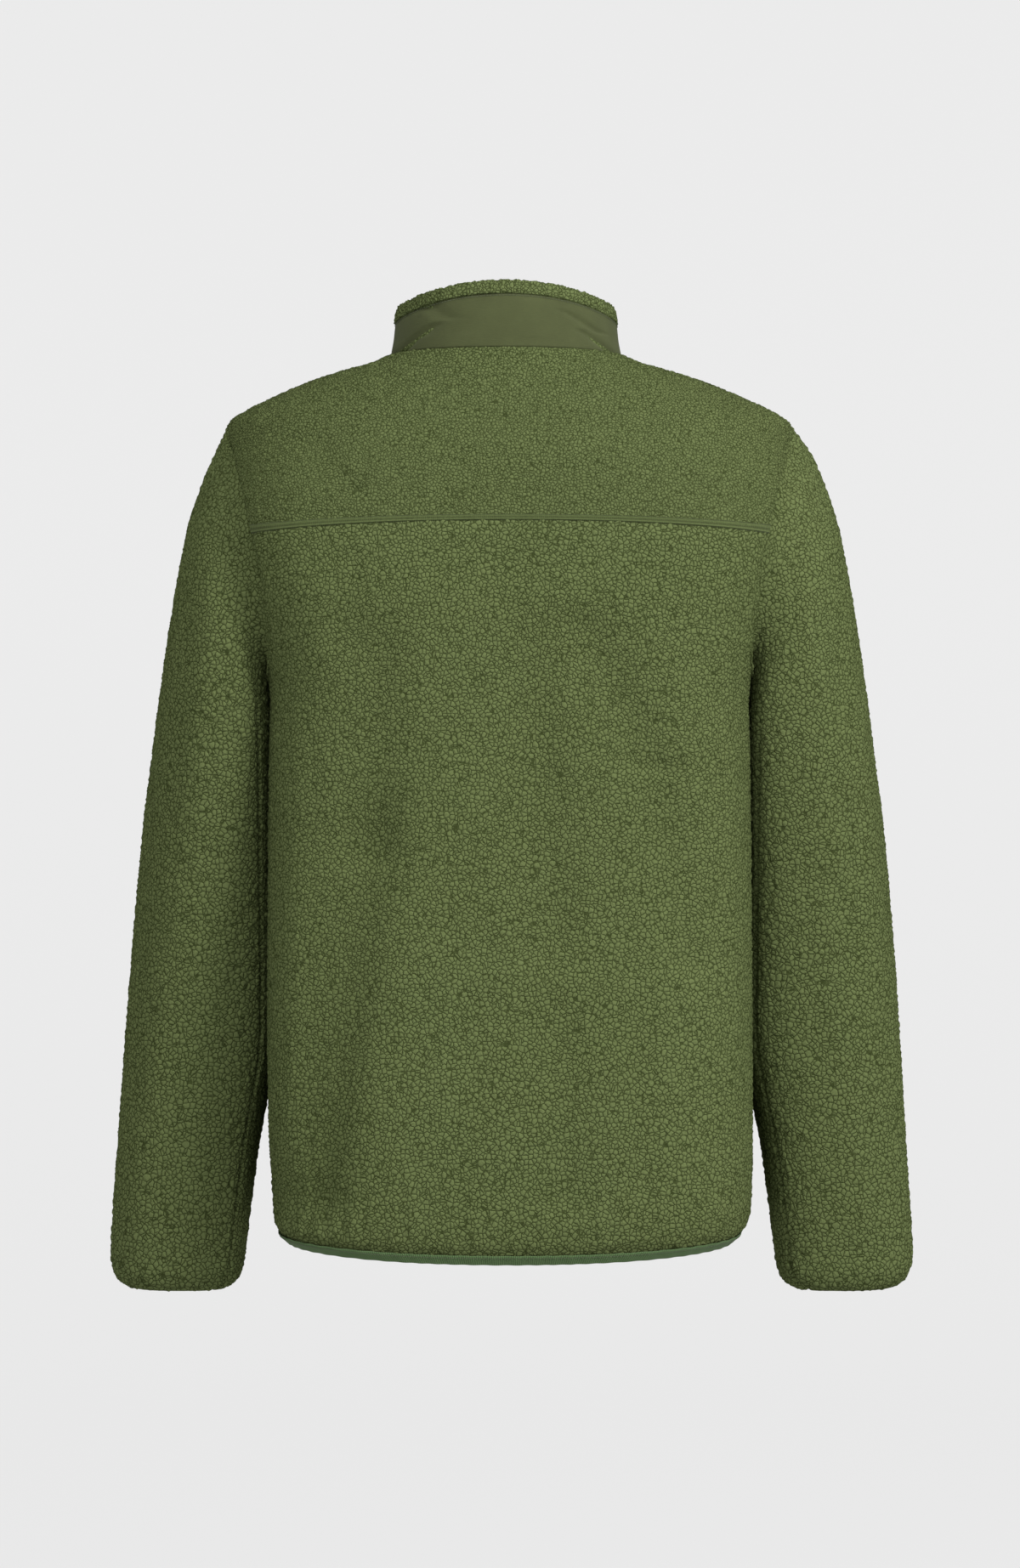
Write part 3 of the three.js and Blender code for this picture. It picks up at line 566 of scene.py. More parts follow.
def mark(tree, name, vector=True):
    """A piece's own mark, read in a material or in a modifier's tree."""
    if tree.bl_idname == "GeometryNodeTree":
        settings = {"data_type": "FLOAT_VECTOR" if vector else "FLOAT"}
        return output(tree, "GeometryNodeInputNamedAttribute", settings, {"Name": name})
    settings = {"attribute_type": "GEOMETRY", "attribute_name": name}
    return output(tree, "ShaderNodeAttribute", settings, name="Vector" if vector else "Fac")


def parts_of(tree, place):
    made = node(tree, "ShaderNodeSeparateXYZ", links={0: place})
    return [Value(tree, made.outputs[i]) for i in range(3)]


def vector_maths(tree, operation, first, second):
    links = {0: first, "Scale" if operation == "SCALE" else 1: second}
    return output(tree, "ShaderNodeVectorMath", {"operation": operation}, links)


def noise(tree, place, size, detail=2.0, roughness=0.5, name="Fac"):
    """Soft noise with lumps of about the given size, in metres."""
    links = {"Vector": place, "Scale": 1 / size, "Detail": detail, "Roughness": roughness}
    return output(tree, "ShaderNodeTexNoise", None, links, name)


def mix_colours(tree, share, first, second, blend="MIX"):
    settings = {"data_type": "RGBA", "blend_type": blend}
    return output(tree, "ShaderNodeMix", settings, {0: share, 6: first, 7: second}, 2)


def grown(tree, place):
    """Places for a pattern whose cells grow steadily down the jacket: x and y times a share that
    falls with the height, and z run up to match."""
    x, y, z = parts_of(tree, place)
    share = z * PILE_GROWTH + 1
    links = {"X": x * share, "Y": y * share, "Z": z * (z * (PILE_GROWTH / 2) + 1)}
    return output(tree, "ShaderNodeCombineXYZ", None, links)


def warped(tree, place, size, way):
    """Places pushed about by a noise, so that straight edges of cells wander."""
    cloud = noise(tree, place, size, 1.0, name="Color")
    push = vector_maths(tree, "SUBTRACT", cloud, (0.5, 0.5, 0.5))
    return vector_maths(tree, "ADD", place, vector_maths(tree, "SCALE", push, way))


def pebbles(tree, place, size):
    """The fleece's curled pile: a broad dome on each pebble and the thin creases between them,
    each from 0 in the crease to 1. The creases wander, and some of them are faint."""
    pushed = warped(tree, warped(tree, place, size * 2.2, size * 0.6), size * 0.5, size * 0.3)
    edges = {"feature": "DISTANCE_TO_EDGE", "voronoi_dimensions": "3D"}
    links = {"Vector": pushed, "Scale": 1 / size}
    edge = output(tree, "ShaderNodeTexVoronoi", edges, links, "Distance")
    fine = {"Vector": pushed, "Scale": 2.3 / size}
    knots = output(tree, "ShaderNodeTexVoronoi", edges, fine, "Distance")
    faint = noise(tree, place, size * 1.1, 1.0).between(0.3, 0.6)
    crease = (1 - edge.between(0.0, 0.14)) * (0.8 + 0.2 * faint)
    small = (1 - knots.between(0.0, 0.12)) * 0.2
    return edge.between(0.0, 0.42), 1 - crease.most(small)


def colour(values):
    """A material's colour from a colour property."""
    return (values[0], values[1], values[2], 1.0)


def shaded(values, share):
    return (values[0] * share, values[1] * share, values[2] * share, 1.0)


def new_finish(name):
    material = bpy.data.materials.new(name)
    material.use_nodes = True
    material.node_tree.nodes.clear()
    return material


def finish_with(material, base, roughness, bumps, sheen=0.0, metallic=0.0, specular=0.25):
    """Ends a material: the shader with its own numbers, and its bumps one on another."""
    tree = material.node_tree
    normal = None
    for height, depth in bumps:
        links = {"Height": height, "Distance": depth, "Strength": 1.0}
        if normal is not None:
            links["Normal"] = normal
        normal = output(tree, "ShaderNodeBump", None, links)
    links = {
        "Base Color": base,
        "Roughness": roughness,
        "Metallic": metallic,
        "Specular IOR Level": specular,
        "Sheen Weight": sheen,
        "Sheen Roughness": 0.6,
        "Normal": normal,
    }
    shader = node(tree, "ShaderNodeBsdfPrincipled", None, links)
    end = node(tree, "ShaderNodeOutputMaterial")
    tree.links.new(shader.outputs[0], end.inputs[0])
    return material


def fleece_finish(name, pebble, tint=1.0):
    """Curled fleece: painted shade deep in the creases between the pebbles, lighter tips, fine curls
    over all of it, and broad soft patches where the nap lies over."""
    colours = bpy.context.scene.jacket_colours
    material = new_finish(name)
    tree = material.node_tree
    place = mark(tree, "cloth")
    dome, crease = pebbles(tree, grown(tree, place), pebble)
    curls = noise(tree, warped(tree, place, 0.0016, 0.0012), 0.0011, 3.0, 0.65)
    nap = noise(tree, place, 0.05, 2.0, 0.5)
    # Painted shade in the creases between the pebbles, a touch lighter on their domes; the curls and nap patches
    # are the fleece's own tone
    height = crease * 0.74 + dome * 0.06 + curls * 0.16
    # Painted shade: the deeper a trough of the folds, the darker the fleece is painted there
    fold_shade = 1 - mark(tree, "fold_shade", vector=False) * FOLD_PAINTED_SHADE
    light = (height + (nap - 0.5) * 0.1).between(0.0, 1.0) * fold_shade
    base = mix_colours(
        tree, light, shaded(colours.fleece_crease_shade, tint), shaded(colours.fleece_tip, tint)
    )
    rough = 0.9 + curls * 0.08
    relief = dome * 0.4 + crease * 0.4 + curls * 0.3
    return finish_with(material, base, rough, [(relief, 0.001)], specular=0.0)


def raise_pile(piece, pebble, pile, finish):
    """Lifts the pile out of a fleece wall along its own outward direction, as high as the
    pebbles' height says, where the piece's raised mark is 1, and keeps the result."""
    tree = bpy.data.node_groups.new(f"{piece.name}_pile", "GeometryNodeTree")
    tree.interface.new_socket("Geometry", in_out="INPUT", socket_type="NodeSocketGeometry")
    tree.interface.new_socket("Geometry", in_out="OUTPUT", socket_type="NodeSocketGeometry")
    start = node(tree, "NodeGroupInput")
    end = node(tree, "NodeGroupOutput")
    dome, _ = pebbles(tree, grown(tree, mark(tree, "cloth")), pebble * PILE_TUFT)
    lift = (dome - 0.55) * pile * mark(tree, "raised", vector=False)
    offset = vector_maths(tree, "SCALE", output(tree, "GeometryNodeInputNormal"), lift)
    links = {"Geometry": Value(tree, start.outputs[0]), "Offset": offset}
    moved = node(tree, "GeometryNodeSetPosition", None, links)
    tree.links.new(moved.outputs[0], end.inputs[0])
    modifier = piece.modifiers.new("pile", "NODES")
    modifier.node_group = tree
    with bpy.context.temp_override(object=piece, active_object=piece, selected_objects=[piece]):
        bpy.ops.object.modifier_apply(modifier="pile")
    bpy.data.node_groups.remove(tree)
    piece.data.materials.append(finish)
    return piece


def rolled(ways, deep, roll):
    """How far a cut edge rolls in: its depth at the edge, along a quarter circle."""
    t = np.clip(ways / roll, 0, 1)
    return deep * (1 - np.sqrt(1 - (1 - t) ** 2))


def fleece_piece(name, surface, normals, edges, fold_shade, wraps=False, inner=None, roll=3.4):
    """A fleece panel on a surface: its chosen edges rolled in, its inside a plain coarser skin.
    Its shade mark, from 0 to 1, is painted shade in the troughs of the folds."""
    group = bpy.context.scene.jacket_sizes.group
    ways = edge_ways(surface, edges)
    outer = surface - normals * rolled(ways, EDGE_DIP, roll)[..., None]
    skin = surface - normals * FLEECE_WALL if inner is None else inner
    skin = skin[::group, ::group]
    points, faces = closed_shell(outer, skin, group, wraps)
    plain = np.zeros(skin.shape[0] * skin.shape[1])
    raised = np.concatenate([smooth_step(ways, -0.6, 0.8).ravel(), plain])
    cloth = np.concatenate([surface.reshape(-1, 3), skin.reshape(-1, 3)]) * METRES
    # Painted shade of the folds' troughs, for the outer points and for the inner ones
    close = np.concatenate([fold_shade.ravel(), fold_shade[::group, ::group].ravel()])
    marks = {"cloth": cloth, "raised": raised, "fold_shade": close}
    return make_piece(name, points, faces, marks=marks)


def body_surface(half, levels, shares, start_x):
    """A panel of the body: rows by level and columns by share of the way to the side, each row
    bending by the share squared to end where the side seam, armhole or shoulder is. Its folds,
    ripples and the pinch under the binding go in along the ring's own outward direction."""
    edge_angle, edge_level = row_edges(half, levels)
    share = shares[None, :]
    level = levels[:, None] + (edge_level - levels)[:, None] * share**2
    ring = read_table(TORSO_ROWS, level)
    start = np.arcsin(start_x / ring[..., 1])
    angle = np.sign(share) * (start + (edge_angle[:, None] - start) * np.abs(share))
    point = ring_point(TORSO_ROWS, half, angle, level)
    normal = ring_normal(TORSO_ROWS, half, angle, level)
    folds = BACK_FOLDS if half == BACK else FRONT_FOLDS
    fold = fold_depth(folds, point[..., 0], point[..., 2], FOLD_LEAN * half)
    fold += hem_ripples(point[..., 0] + 9 * half, point[..., 2])
    sides = ("start", "end") if half == BACK else ("end",)
    fold += SEAM_VALLEY * np.exp(-((edge_ways(point, sides) / SEAM_VALLEY_WIDTH) ** 2))
    fold -= NECK_LIP * smooth_step(level, NECK_LEVEL - 26, NECK_LEVEL - 4)
    pinch = HEM_PINCH * smooth_step(PINCH_END_LEVEL - level, 0, PINCH_END_LEVEL - BINDING_LEVEL)
    outer = point - normal * (fold + pinch)[..., None]
    inner = point - normal * (fold + FLEECE_WALL)[..., None]
    # The last value is painted shade for the troughs of the folds, growing with their depth
    return outer, inner, normal, smooth_step(fold, 0, FULL_SHADE_DEPTH)


def drawn_in(points, edges, way=CLOTH_GAP / 2):
    """Draws the chosen edges of a grid in by half a seam gap, along its own lines."""
    points = points.copy()
    if "bottom" in edges:
        points[0] += unit(points[1] - points[0]) * way
    if "top" in edges:
        points[-1] += unit(points[-2] - points[-1]) * way
    if "start" in edges:
        points[:, 0] += unit(points[:, 1] - points[:, 0]) * way
    if "end" in edges:
        points[:, -1] += unit(points[:, -2] - points[:, -1]) * way
    return points


def body_panel(name, half, low, high, shares, start_x, edges, pebble, finish):
    sizes = bpy.context.scene.jacket_sizes
    near = (0.35, 1.0)
    ends = (low, min(high, TIP_LEVEL))
    levels = spaced(ends[0], ends[1], sizes.cell, near, near if high <= TIP_LEVEL else ())
    if high > TIP_LEVEL:
        levels = np.concatenate([levels, spaced(TIP_LEVEL, high, sizes.cell, (), near)[1:]])
    levels = fitted(levels, sizes.group)
    outer, inner, normal, fold_shade = body_surface(half, levels, fitted(shares, sizes.group), start_x)
    outer = drawn_in(outer, edges)
    inner = drawn_in(inner, edges)
    piece = fleece_piece(f"{name}_cloth", outer, normal, edges, fold_shade, inner=inner)
    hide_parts(name)
    return raise_pile(piece, pebble, sizes.pile, finish)


def sleeve_oval(down, turn):
    """A section of the sleeve: a superellipse between its outer and inner points, fuller on the
    inner side, whose depth is its own."""
    row = read_table(SLEEVE_ROWS, down)
    cos = np.cos(turn)
    sin = np.sin(turn)
    inner = INNER_FULLNESS + PRESSED_FULLNESS * smooth_step(sin, 0, 0.3) * smooth_step(down, 60, 160)
    power = 2 / np.where(cos > 0, OUTER_FULLNESS, inner)
    out = np.sign(cos) * np.abs(cos) ** power
    back = np.sign(sin) * np.abs(sin) ** power
    x = (row[..., 1] + row[..., 3]) / 2 + (row[..., 1] - row[..., 3]) / 2 * out
    y = row[..., 5] + row[..., 6] * back
    z = (row[..., 2] + row[..., 4]) / 2 + (row[..., 2] - row[..., 4]) / 2 * out
    return np.stack([x, y, z], axis=-1)


def body_reach(points):
    """How far out the body comes beside each point, or nothing where its armhole is open."""
    level = np.clip(points[..., 2], HEM_LEVEL, TIP_LEVEL)
    ring = read_table(TORSO_ROWS, level)
    half = np.where(points[..., 1] > 0, BACK, FRONT)
    depth, power = ring_form(ring, half, level)
    share = np.minimum(np.abs(points[..., 1]) / depth, 1)
    across = (1 - share**power) ** (1 / power)
    middle = (TIP_LEVEL + ARMPIT_LEVEL) / 2
    turn = np.arccos(np.clip((level - middle) / (TIP_LEVEL - middle), -1, 1))
    angle, _ = armhole_edge(half, turn)
    open_here = (across > np.sin(angle)) & (level > ARMPIT_LEVEL)
    return np.where(open_here, 0, ring[..., 1] * across)


def armhole_frame(turns):
    """The armhole at signed turns, positive over the back: its points, the body's outward
    direction there, and the way across it towards the sleeve."""
    half = np.where(turns >= 0, BACK, FRONT)
    turn = np.abs(turns)

    def at(there):
        angle, level = armhole_edge(half, there)
        return ring_point(TORSO_ROWS, half, angle, level)

    angle, level = armhole_edge(half, turn)
    point = at(turn)
    normal = ring_normal(TORSO_ROWS, half, angle, level)
    step = 0.02
    tangent = unit(at(turn + step) - at(turn - step))
    ends = (turn < step) | (turn > np.pi - step)
    tangent = np.where(ends[:, None], np.array([0.0, 1.0, 0.0]), tangent)
    away = unit(np.cross(tangent, normal))
    middle = (at(turn * 0) + at(turn * 0 + np.pi)) / 2
    towards = np.sum(away * (middle - point), axis=-1)
    return point, normal, away * np.where(towards < 0, -1, 1)[:, None]


def grid_normals(points, wraps):
    """Directions across a grid, from the neighbours of each point along and across it."""
    if wraps:
        around = np.roll(points, -1, axis=1) - np.roll(points, 1, axis=1)
    else:
        around = np.gradient(points, axis=1)
    return unit(np.cross(around, np.gradient(points, axis=0)))


def sleeve_surface(downs, turns, folds, bulge, press):
    """The left sleeve, from the armhole to the cuff: the armhole's own outline carried out and
    blended into the ovals, kept clear of the body, with its folds and underarm seam."""
    point, normal, away = armhole_frame(turns)
    lift = SLEEVE_CLEARANCE * (1 - np.cos(turns)) / 2
    start = point + away * CLOTH_GAP / 2 + normal * lift[:, None]
    down = downs[:, None]
    oval = sleeve_oval(down, turns[None, :])
    blend = smooth_step(down, 0, SLEEVE_BLEND)[..., None]
    surface = (start[None] + away[None] * down[..., None] / 3) * (1 - blend) + oval * blend
    surface[0] = start
    inwards = ((1 - np.cos(turns)) / 2) ** 1.3
    leaning = smooth_step(down, 3, 50) * (1 - smooth_step(down, 470, 575))
    surface[..., 0] -= press * leaning * inwards
    outwards = ((1 + np.cos(turns)) / 2) ** 1.5
    swell = smooth_step(down, 2, 50) * (1 - 0.5 * smooth_step(down, 360, 620))
    surface[..., 0] += bulge * swell * outwards
    reach = body_reach(surface[1:]) + SLEEVE_TOUCH
    surface[1:, :, 0] = np.maximum(surface[1:, :, 0], reach)
    normals = grid_normals(surface, wraps=True)
    middle = surface[len(downs) // 2].mean(axis=0)
    if np.sum(normals[len(downs) // 2, 0] * (surface[len(downs) // 2, 0] - middle)) < 0:
        normals = -normals
    lean = np.maximum(np.sum(normals[0] * away, axis=-1), 0)
    normals[0] = unit(normals[0] - away * lean[:, None])
    depth = sleeve_folds(folds, downs, turns) + underarm_groove(downs, turns)
    _, level = armhole_edge(np.where(turns >= 0, BACK, FRONT), np.abs(turns))
    depth += armhole_valley(edge_ways(surface, ("bottom",)), level[None, :])
    # The last value is painted shade for the troughs of the folds, growing with their depth
    return surface - normals * depth[..., None], normals, smooth_step(depth, 0, FULL_SHADE_DEPTH)


def sleeve_folds(folds, downs, turns):
    """The depth of the sleeve's folds, as for the body, over the way down it and the way round."""
    row = read_table(SLEEVE_ROWS, downs)
    radius = (row[:, 1] - row[:, 3]) / 4 + row[:, 6] / 2
    depth = np.zeros((len(downs), len(turns)))
    down = downs[:, None]
    for top, top_turn, end, end_turn, top_deep, end_deep, top_wide, end_wide in folds:
        t = (down - top) / (end - top)
        fade = smooth_step(t, 0, FOLD_FADE_IN) * smooth_step(1 - t, 0, FOLD_FADE_IN)
        middle = np.radians(top_turn + (end_turn - top_turn) * t)
        width = np.maximum(top_wide + (end_wide - top_wide) * t, 1)
        deep = top_deep + (end_deep - top_deep) * t
        way = (turns[None, :] - middle) * radius[:, None]
        depth += deep * fade * np.exp(-((way / width) ** 2))
    return depth


def underarm_groove(downs, turns):
    """The underarm seam as a narrow groove a little way in from the inner line on the back."""
    row = read_table(SLEEVE_ROWS, downs)
    share = 1 - 2 * UNDERARM_IN / (row[:, 1] - row[:, 3])
    seam = np.pi - np.arccos(share ** (INNER_FULLNESS / 2))
    radius = (row[:, 1] - row[:, 3]) / 4 + row[:, 6] / 2
    way = (turns[None, :] - seam[:, None]) * radius[:, None]
    return 1.8 * np.exp(-((way / 1.9) ** 2)) * smooth_step(downs, 60, 200)[:, None]


UNDERARM_IN = 11.5


def whole_way(front_cells, back_cells, rows):
    """Halves and signed shares of the columns that run from one edge of the front opening round the
    back to the other. The ring table that it is given is not used."""
    front = np.linspace(0, 1, front_cells + 1)
    back = np.linspace(1, -1, 2 * back_cells + 1)[1:-1]
    before = np.full(len(front), FRONT)
    half = np.concatenate([before, np.full(len(back), BACK), before])
    share = np.concatenate([np.maximum(front, 1e-6), back, -np.maximum(front[::-1], 1e-6)])
    return half, share


def column_angle(rows, half, share, level):
    width = read_table(rows, level)[..., 1]
    start = np.where(half == FRONT, np.arcsin(FRONT_OPENING / width), 0)
    return np.sign(share) * (start + (np.pi / 2 - start) * np.abs(share))


def beside_ring(rows, half, share, level, out, down=0.0):
    """A point beside a ring: a way out along its normal, and a way down along its surface."""
    angle = column_angle(rows, half, share, level)
    point = ring_point(rows, half, angle, level)
    step = (rows[-1, 0] - rows[0, 0]) * 0.001
    below = unit(ring_point(rows, half, angle, level - step) - point)
    normal = ring_normal(rows, half, angle, level)
    return point + normal * np.asarray(out)[..., None] + below * np.asarray(down)[..., None]


def collar_height(half, share):
    angle = column_angle(COLLAR_ROWS, half, share, np.zeros_like(share))
    low = ring_point(COLLAR_ROWS, half, angle, np.zeros_like(share))
    high = ring_point(COLLAR_ROWS, half, angle, np.ones_like(share))
    return np.linalg.norm(high - low, axis=-1)


def roll_height(half, share):
    """How far the fleece rolls down the outside: a little at the back, more round the sides."""
    angle = column_angle(COLLAR_ROWS, half, share, np.zeros_like(share))
    return (COLLAR_ROLL + ROLL_DROP * np.abs(np.sin(angle)) ** 5)[:, None]


def collar_points(half, share, out, up):
    """Points of the collar at ways out from its surface and ways up it, both arrays of profile
    points or of columns by profile points."""
    height = collar_height(half, share)[:, None]
    level = up / height
    out = np.broadcast_to(out, level.shape)
    wide_half = np.broadcast_to(half[:, None], level.shape)
    wide_share = np.broadcast_to(share[:, None], level.shape)
    return beside_ring(COLLAR_ROWS, wide_half, wide_share, level, out)


def thread_row(points, normals, pitch, length, radius, lift=0.0, around=6, along=4):
    """A row of stitches along a line: each a small spindle, round across and with its two ends
    drawn to a point, lying along the line on the outward directions given."""
    steps = np.linalg.norm(np.diff(points, axis=0), axis=-1)
    way = np.concatenate([[0], np.cumsum(steps)])
    count = max(int(way[-1] / pitch), 1)
    centres = (np.arange(count) + 0.5) * way[-1] / count
    place = np.stack([np.interp(centres, way, points[:, i]) for i in range(3)], axis=-1)
    front = np.stack([np.interp(centres + 0.05, way, points[:, i]) for i in range(3)], axis=-1)
    rear = np.stack([np.interp(centres - 0.05, way, points[:, i]) for i in range(3)], axis=-1)
    lie = unit(front - rear)
    up = np.stack([np.interp(centres, way, normals[:, i]) for i in range(3)], axis=-1)
    up = unit(up - lie * np.sum(up * lie, axis=-1, keepdims=True))
    side = np.cross(lie, up)
    t = np.linspace(0.06, 0.94, along)
    thick = radius * np.sin(np.pi * t) ** 0.5
    arch = radius * 0.6 * np.sin(np.pi * t)
    turn = np.arange(around) * 2 * np.pi / around
    x = ((t - 0.5) * length)[:, None] + np.zeros(around)[None]
    y = thick[:, None] * np.cos(turn)[None]
    z = thick[:, None] * np.sin(turn)[None] + arch[:, None]
    local = np.stack([x, y, z], axis=-1).reshape(-1, 3)
    spindle = (
        place[:, None]
        + lie[:, None] * local[None, :, :1]
        + side[:, None] * local[None, :, 1:2]
        + up[:, None] * (local[None, :, 2:] + lift)
    )
    size = around * along
    one = grid_faces(along, around, wraps=True)
    ends = np.stack([np.arange(around)[::-1], np.arange(around) + size - around])
    offsets = (np.arange(count) * size)[:, None, None]
    faces = [(one[None] + offsets).reshape(-1, 4), (ends[None] + offsets).reshape(-1, around)]
    return spindle.reshape(-1, 3), facing_out(spindle.reshape(-1, 3), faces)


def joined(meshes):
    """Several meshes as one: their points in a row, and their faces numbered to match."""
    points = np.concatenate([m[0] for m in meshes])
    faces = []
    start = 0
    for found, corners in meshes:
        faces += [np.asarray(f) + start for f in corners]
        start += len(found)
    return points, faces


class JacketSizes(bpy.types.PropertyGroup):
    """Sizes of the cloth and its details."""

    cell: bpy.props.FloatProperty(
        name="Fleece cell", description="Spacing of the fleece's mesh, in millimetres", default=2.05
    )
    group: bpy.props.IntProperty(
        name="Inside group", description="Cells of the outside to one of the inside", default=3
    )
    pile: bpy.props.FloatProperty(
        name="Pile height",
        description="Height of the fleece's pebbles above its creases",
        default=0.0012,
        subtype="DISTANCE",
        unit="LENGTH",
    )
    body_pebble: bpy.props.FloatProperty(
        name="Body pebble",
        description="Size of the pebbles on the back and the fronts",
        default=0.0030,
        subtype="DISTANCE",
        unit="LENGTH",
    )
    yoke_pebble: bpy.props.FloatProperty(
        name="Yoke pebble",
        description="Size of the pebbles on the yoke",
        default=0.0024,
        subtype="DISTANCE",
        unit="LENGTH",
    )
    sleeve_pebble: bpy.props.FloatProperty(
        name="Sleeve pebble",
        description="Size of the pebbles on the sleeves",
        default=0.0033,
        subtype="DISTANCE",
        unit="LENGTH",
    )
    collar_pebble: bpy.props.FloatProperty(
        name="Collar pebble",
        description="Size of the pebbles inside the collar",
        default=0.0026,
        subtype="DISTANCE",
        unit="LENGTH",
    )


def shade(name, description, default):
    return bpy.props.FloatVectorProperty(
        name=name, description=description, default=default, subtype="COLOR", min=0.0, max=1.0
    )


class JacketColours(bpy.types.PropertyGroup):
    """Colours of the cloth, threads, zip and studio."""

    fleece_tip: shade("Fleece tips", "The fleece on the tips of its pile", (0.085, 0.1056, 0.0408))
    # A painted shade of the fleece's colour, for the creases between its pebbles
    fleece_crease_shade: shade("Fleece creases", "The fleece down in its creases", (0.0232, 0.0299, 0.0095))
    collar: shade("Collar cloth", "The woven cloth outside the collar", (0.0493, 0.0573, 0.0226))
    binding: shade("Binding", "The elastic binding at the hem", (0.0536, 0.0888, 0.0353))
    band: shade("Seam band", "The flat thread over the yoke seam", (0.0803, 0.1024, 0.0367))
    thread: shade("Thread", "The dark stitches", (0.045, 0.055, 0.026))
    tape: shade("Zip tape", "The zip's woven tapes", (0.060, 0.073, 0.034))
    teeth: shade("Zip teeth", "The zip's moulded teeth", (0.050, 0.058, 0.028))
    metal: shade("Slider", "The slider and its pull", (0.30, 0.30, 0.28))
    studio: shade("Studio", "The floor and the wall behind", (0.10, 0.10, 0.10))


def settings():
    return bpy.context.scene.jacket_sizes, bpy.context.scene.jacket_colours


class JACKET_OT_body(bpy.types.Operator):
    """Make the back, the yoke and the two fronts in pebbled fleece"""

    bl_idname = "jacket.body"
    bl_label = "Body panels"

    def execute(self, context):
        sizes, _ = settings()
        body = fleece_finish("body_fleece", sizes.body_pebble)
        yoke = fleece_finish("yoke_fleece", sizes.yoke_pebble, 0.96)
        near = (0.0018, 0.005)
        across = spaced(-1, 1, 2 / 252, near, near)
        half_way = spaced(0, 1, 1 / 122, near, near)
        half_way[0] = 1e-6
        sides = ("start", "end")
        back = body_panel(
            "back_body", BACK, HEM_LEVEL, YOKE_LEVEL, across, 0, (*sides, "top"), sizes.body_pebble, body
        )
        top = body_panel(
            "back_yoke",
            BACK,
            YOKE_LEVEL,
            NECK_LEVEL,
            across,
            0,
            (*sides, "top", "bottom"),
            sizes.yoke_pebble,
            yoke,
        )
        fronts = [
            body_panel(
                name,
                FRONT,
                HEM_LEVEL,
                NECK_LEVEL,
                shares,
                FRONT_OPENING,
                ("start", "end", "top"),
                sizes.body_pebble,
                body,
            )
            for name, shares in (("front_left", half_way), ("front_right", -half_way))
        ]
        return {"FINISHED"}


class JACKET_OT_sleeves(bpy.types.Operator):
    """Make the two sleeves, with their folds and the underarm seam"""

    bl_idname = "jacket.sleeves"
    bl_label = "Sleeves"

    def execute(self, context):
        sizes, _ = settings()
        finish = fleece_finish("sleeve_fleece", sizes.sleeve_pebble, 0.97)
        downs = fitted(spaced(0, SLEEVE_ROWS[-1, 0], 2.3, (0.35, 1.0), (0.35, 1.0)), sizes.group)
        turns = np.pi - np.arange(228) * 2 * np.pi / 228
        turns[0] = np.pi - 1e-6
        for name, side, folds, bulge, press in (
            ("sleeve_left", 1, LEFT_SLEEVE_FOLDS, 0.0, 8.0),
            ("sleeve_right", -1, RIGHT_SLEEVE_FOLDS, 5.0, 11.0),
        ):
            surface, normals, fold_shade = sleeve_surface(downs, turns, folds, bulge, press)
            mirror = np.array([side, 1, 1])
            edges = ("bottom", "top")
            piece = fleece_piece(f"{name}_cloth", surface * mirror, normals * mirror, edges, fold_shade, wraps=True)
            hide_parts(name)
            raise_pile(piece, sizes.sleeve_pebble, sizes.pile, finish)
        return {"FINISHED"}


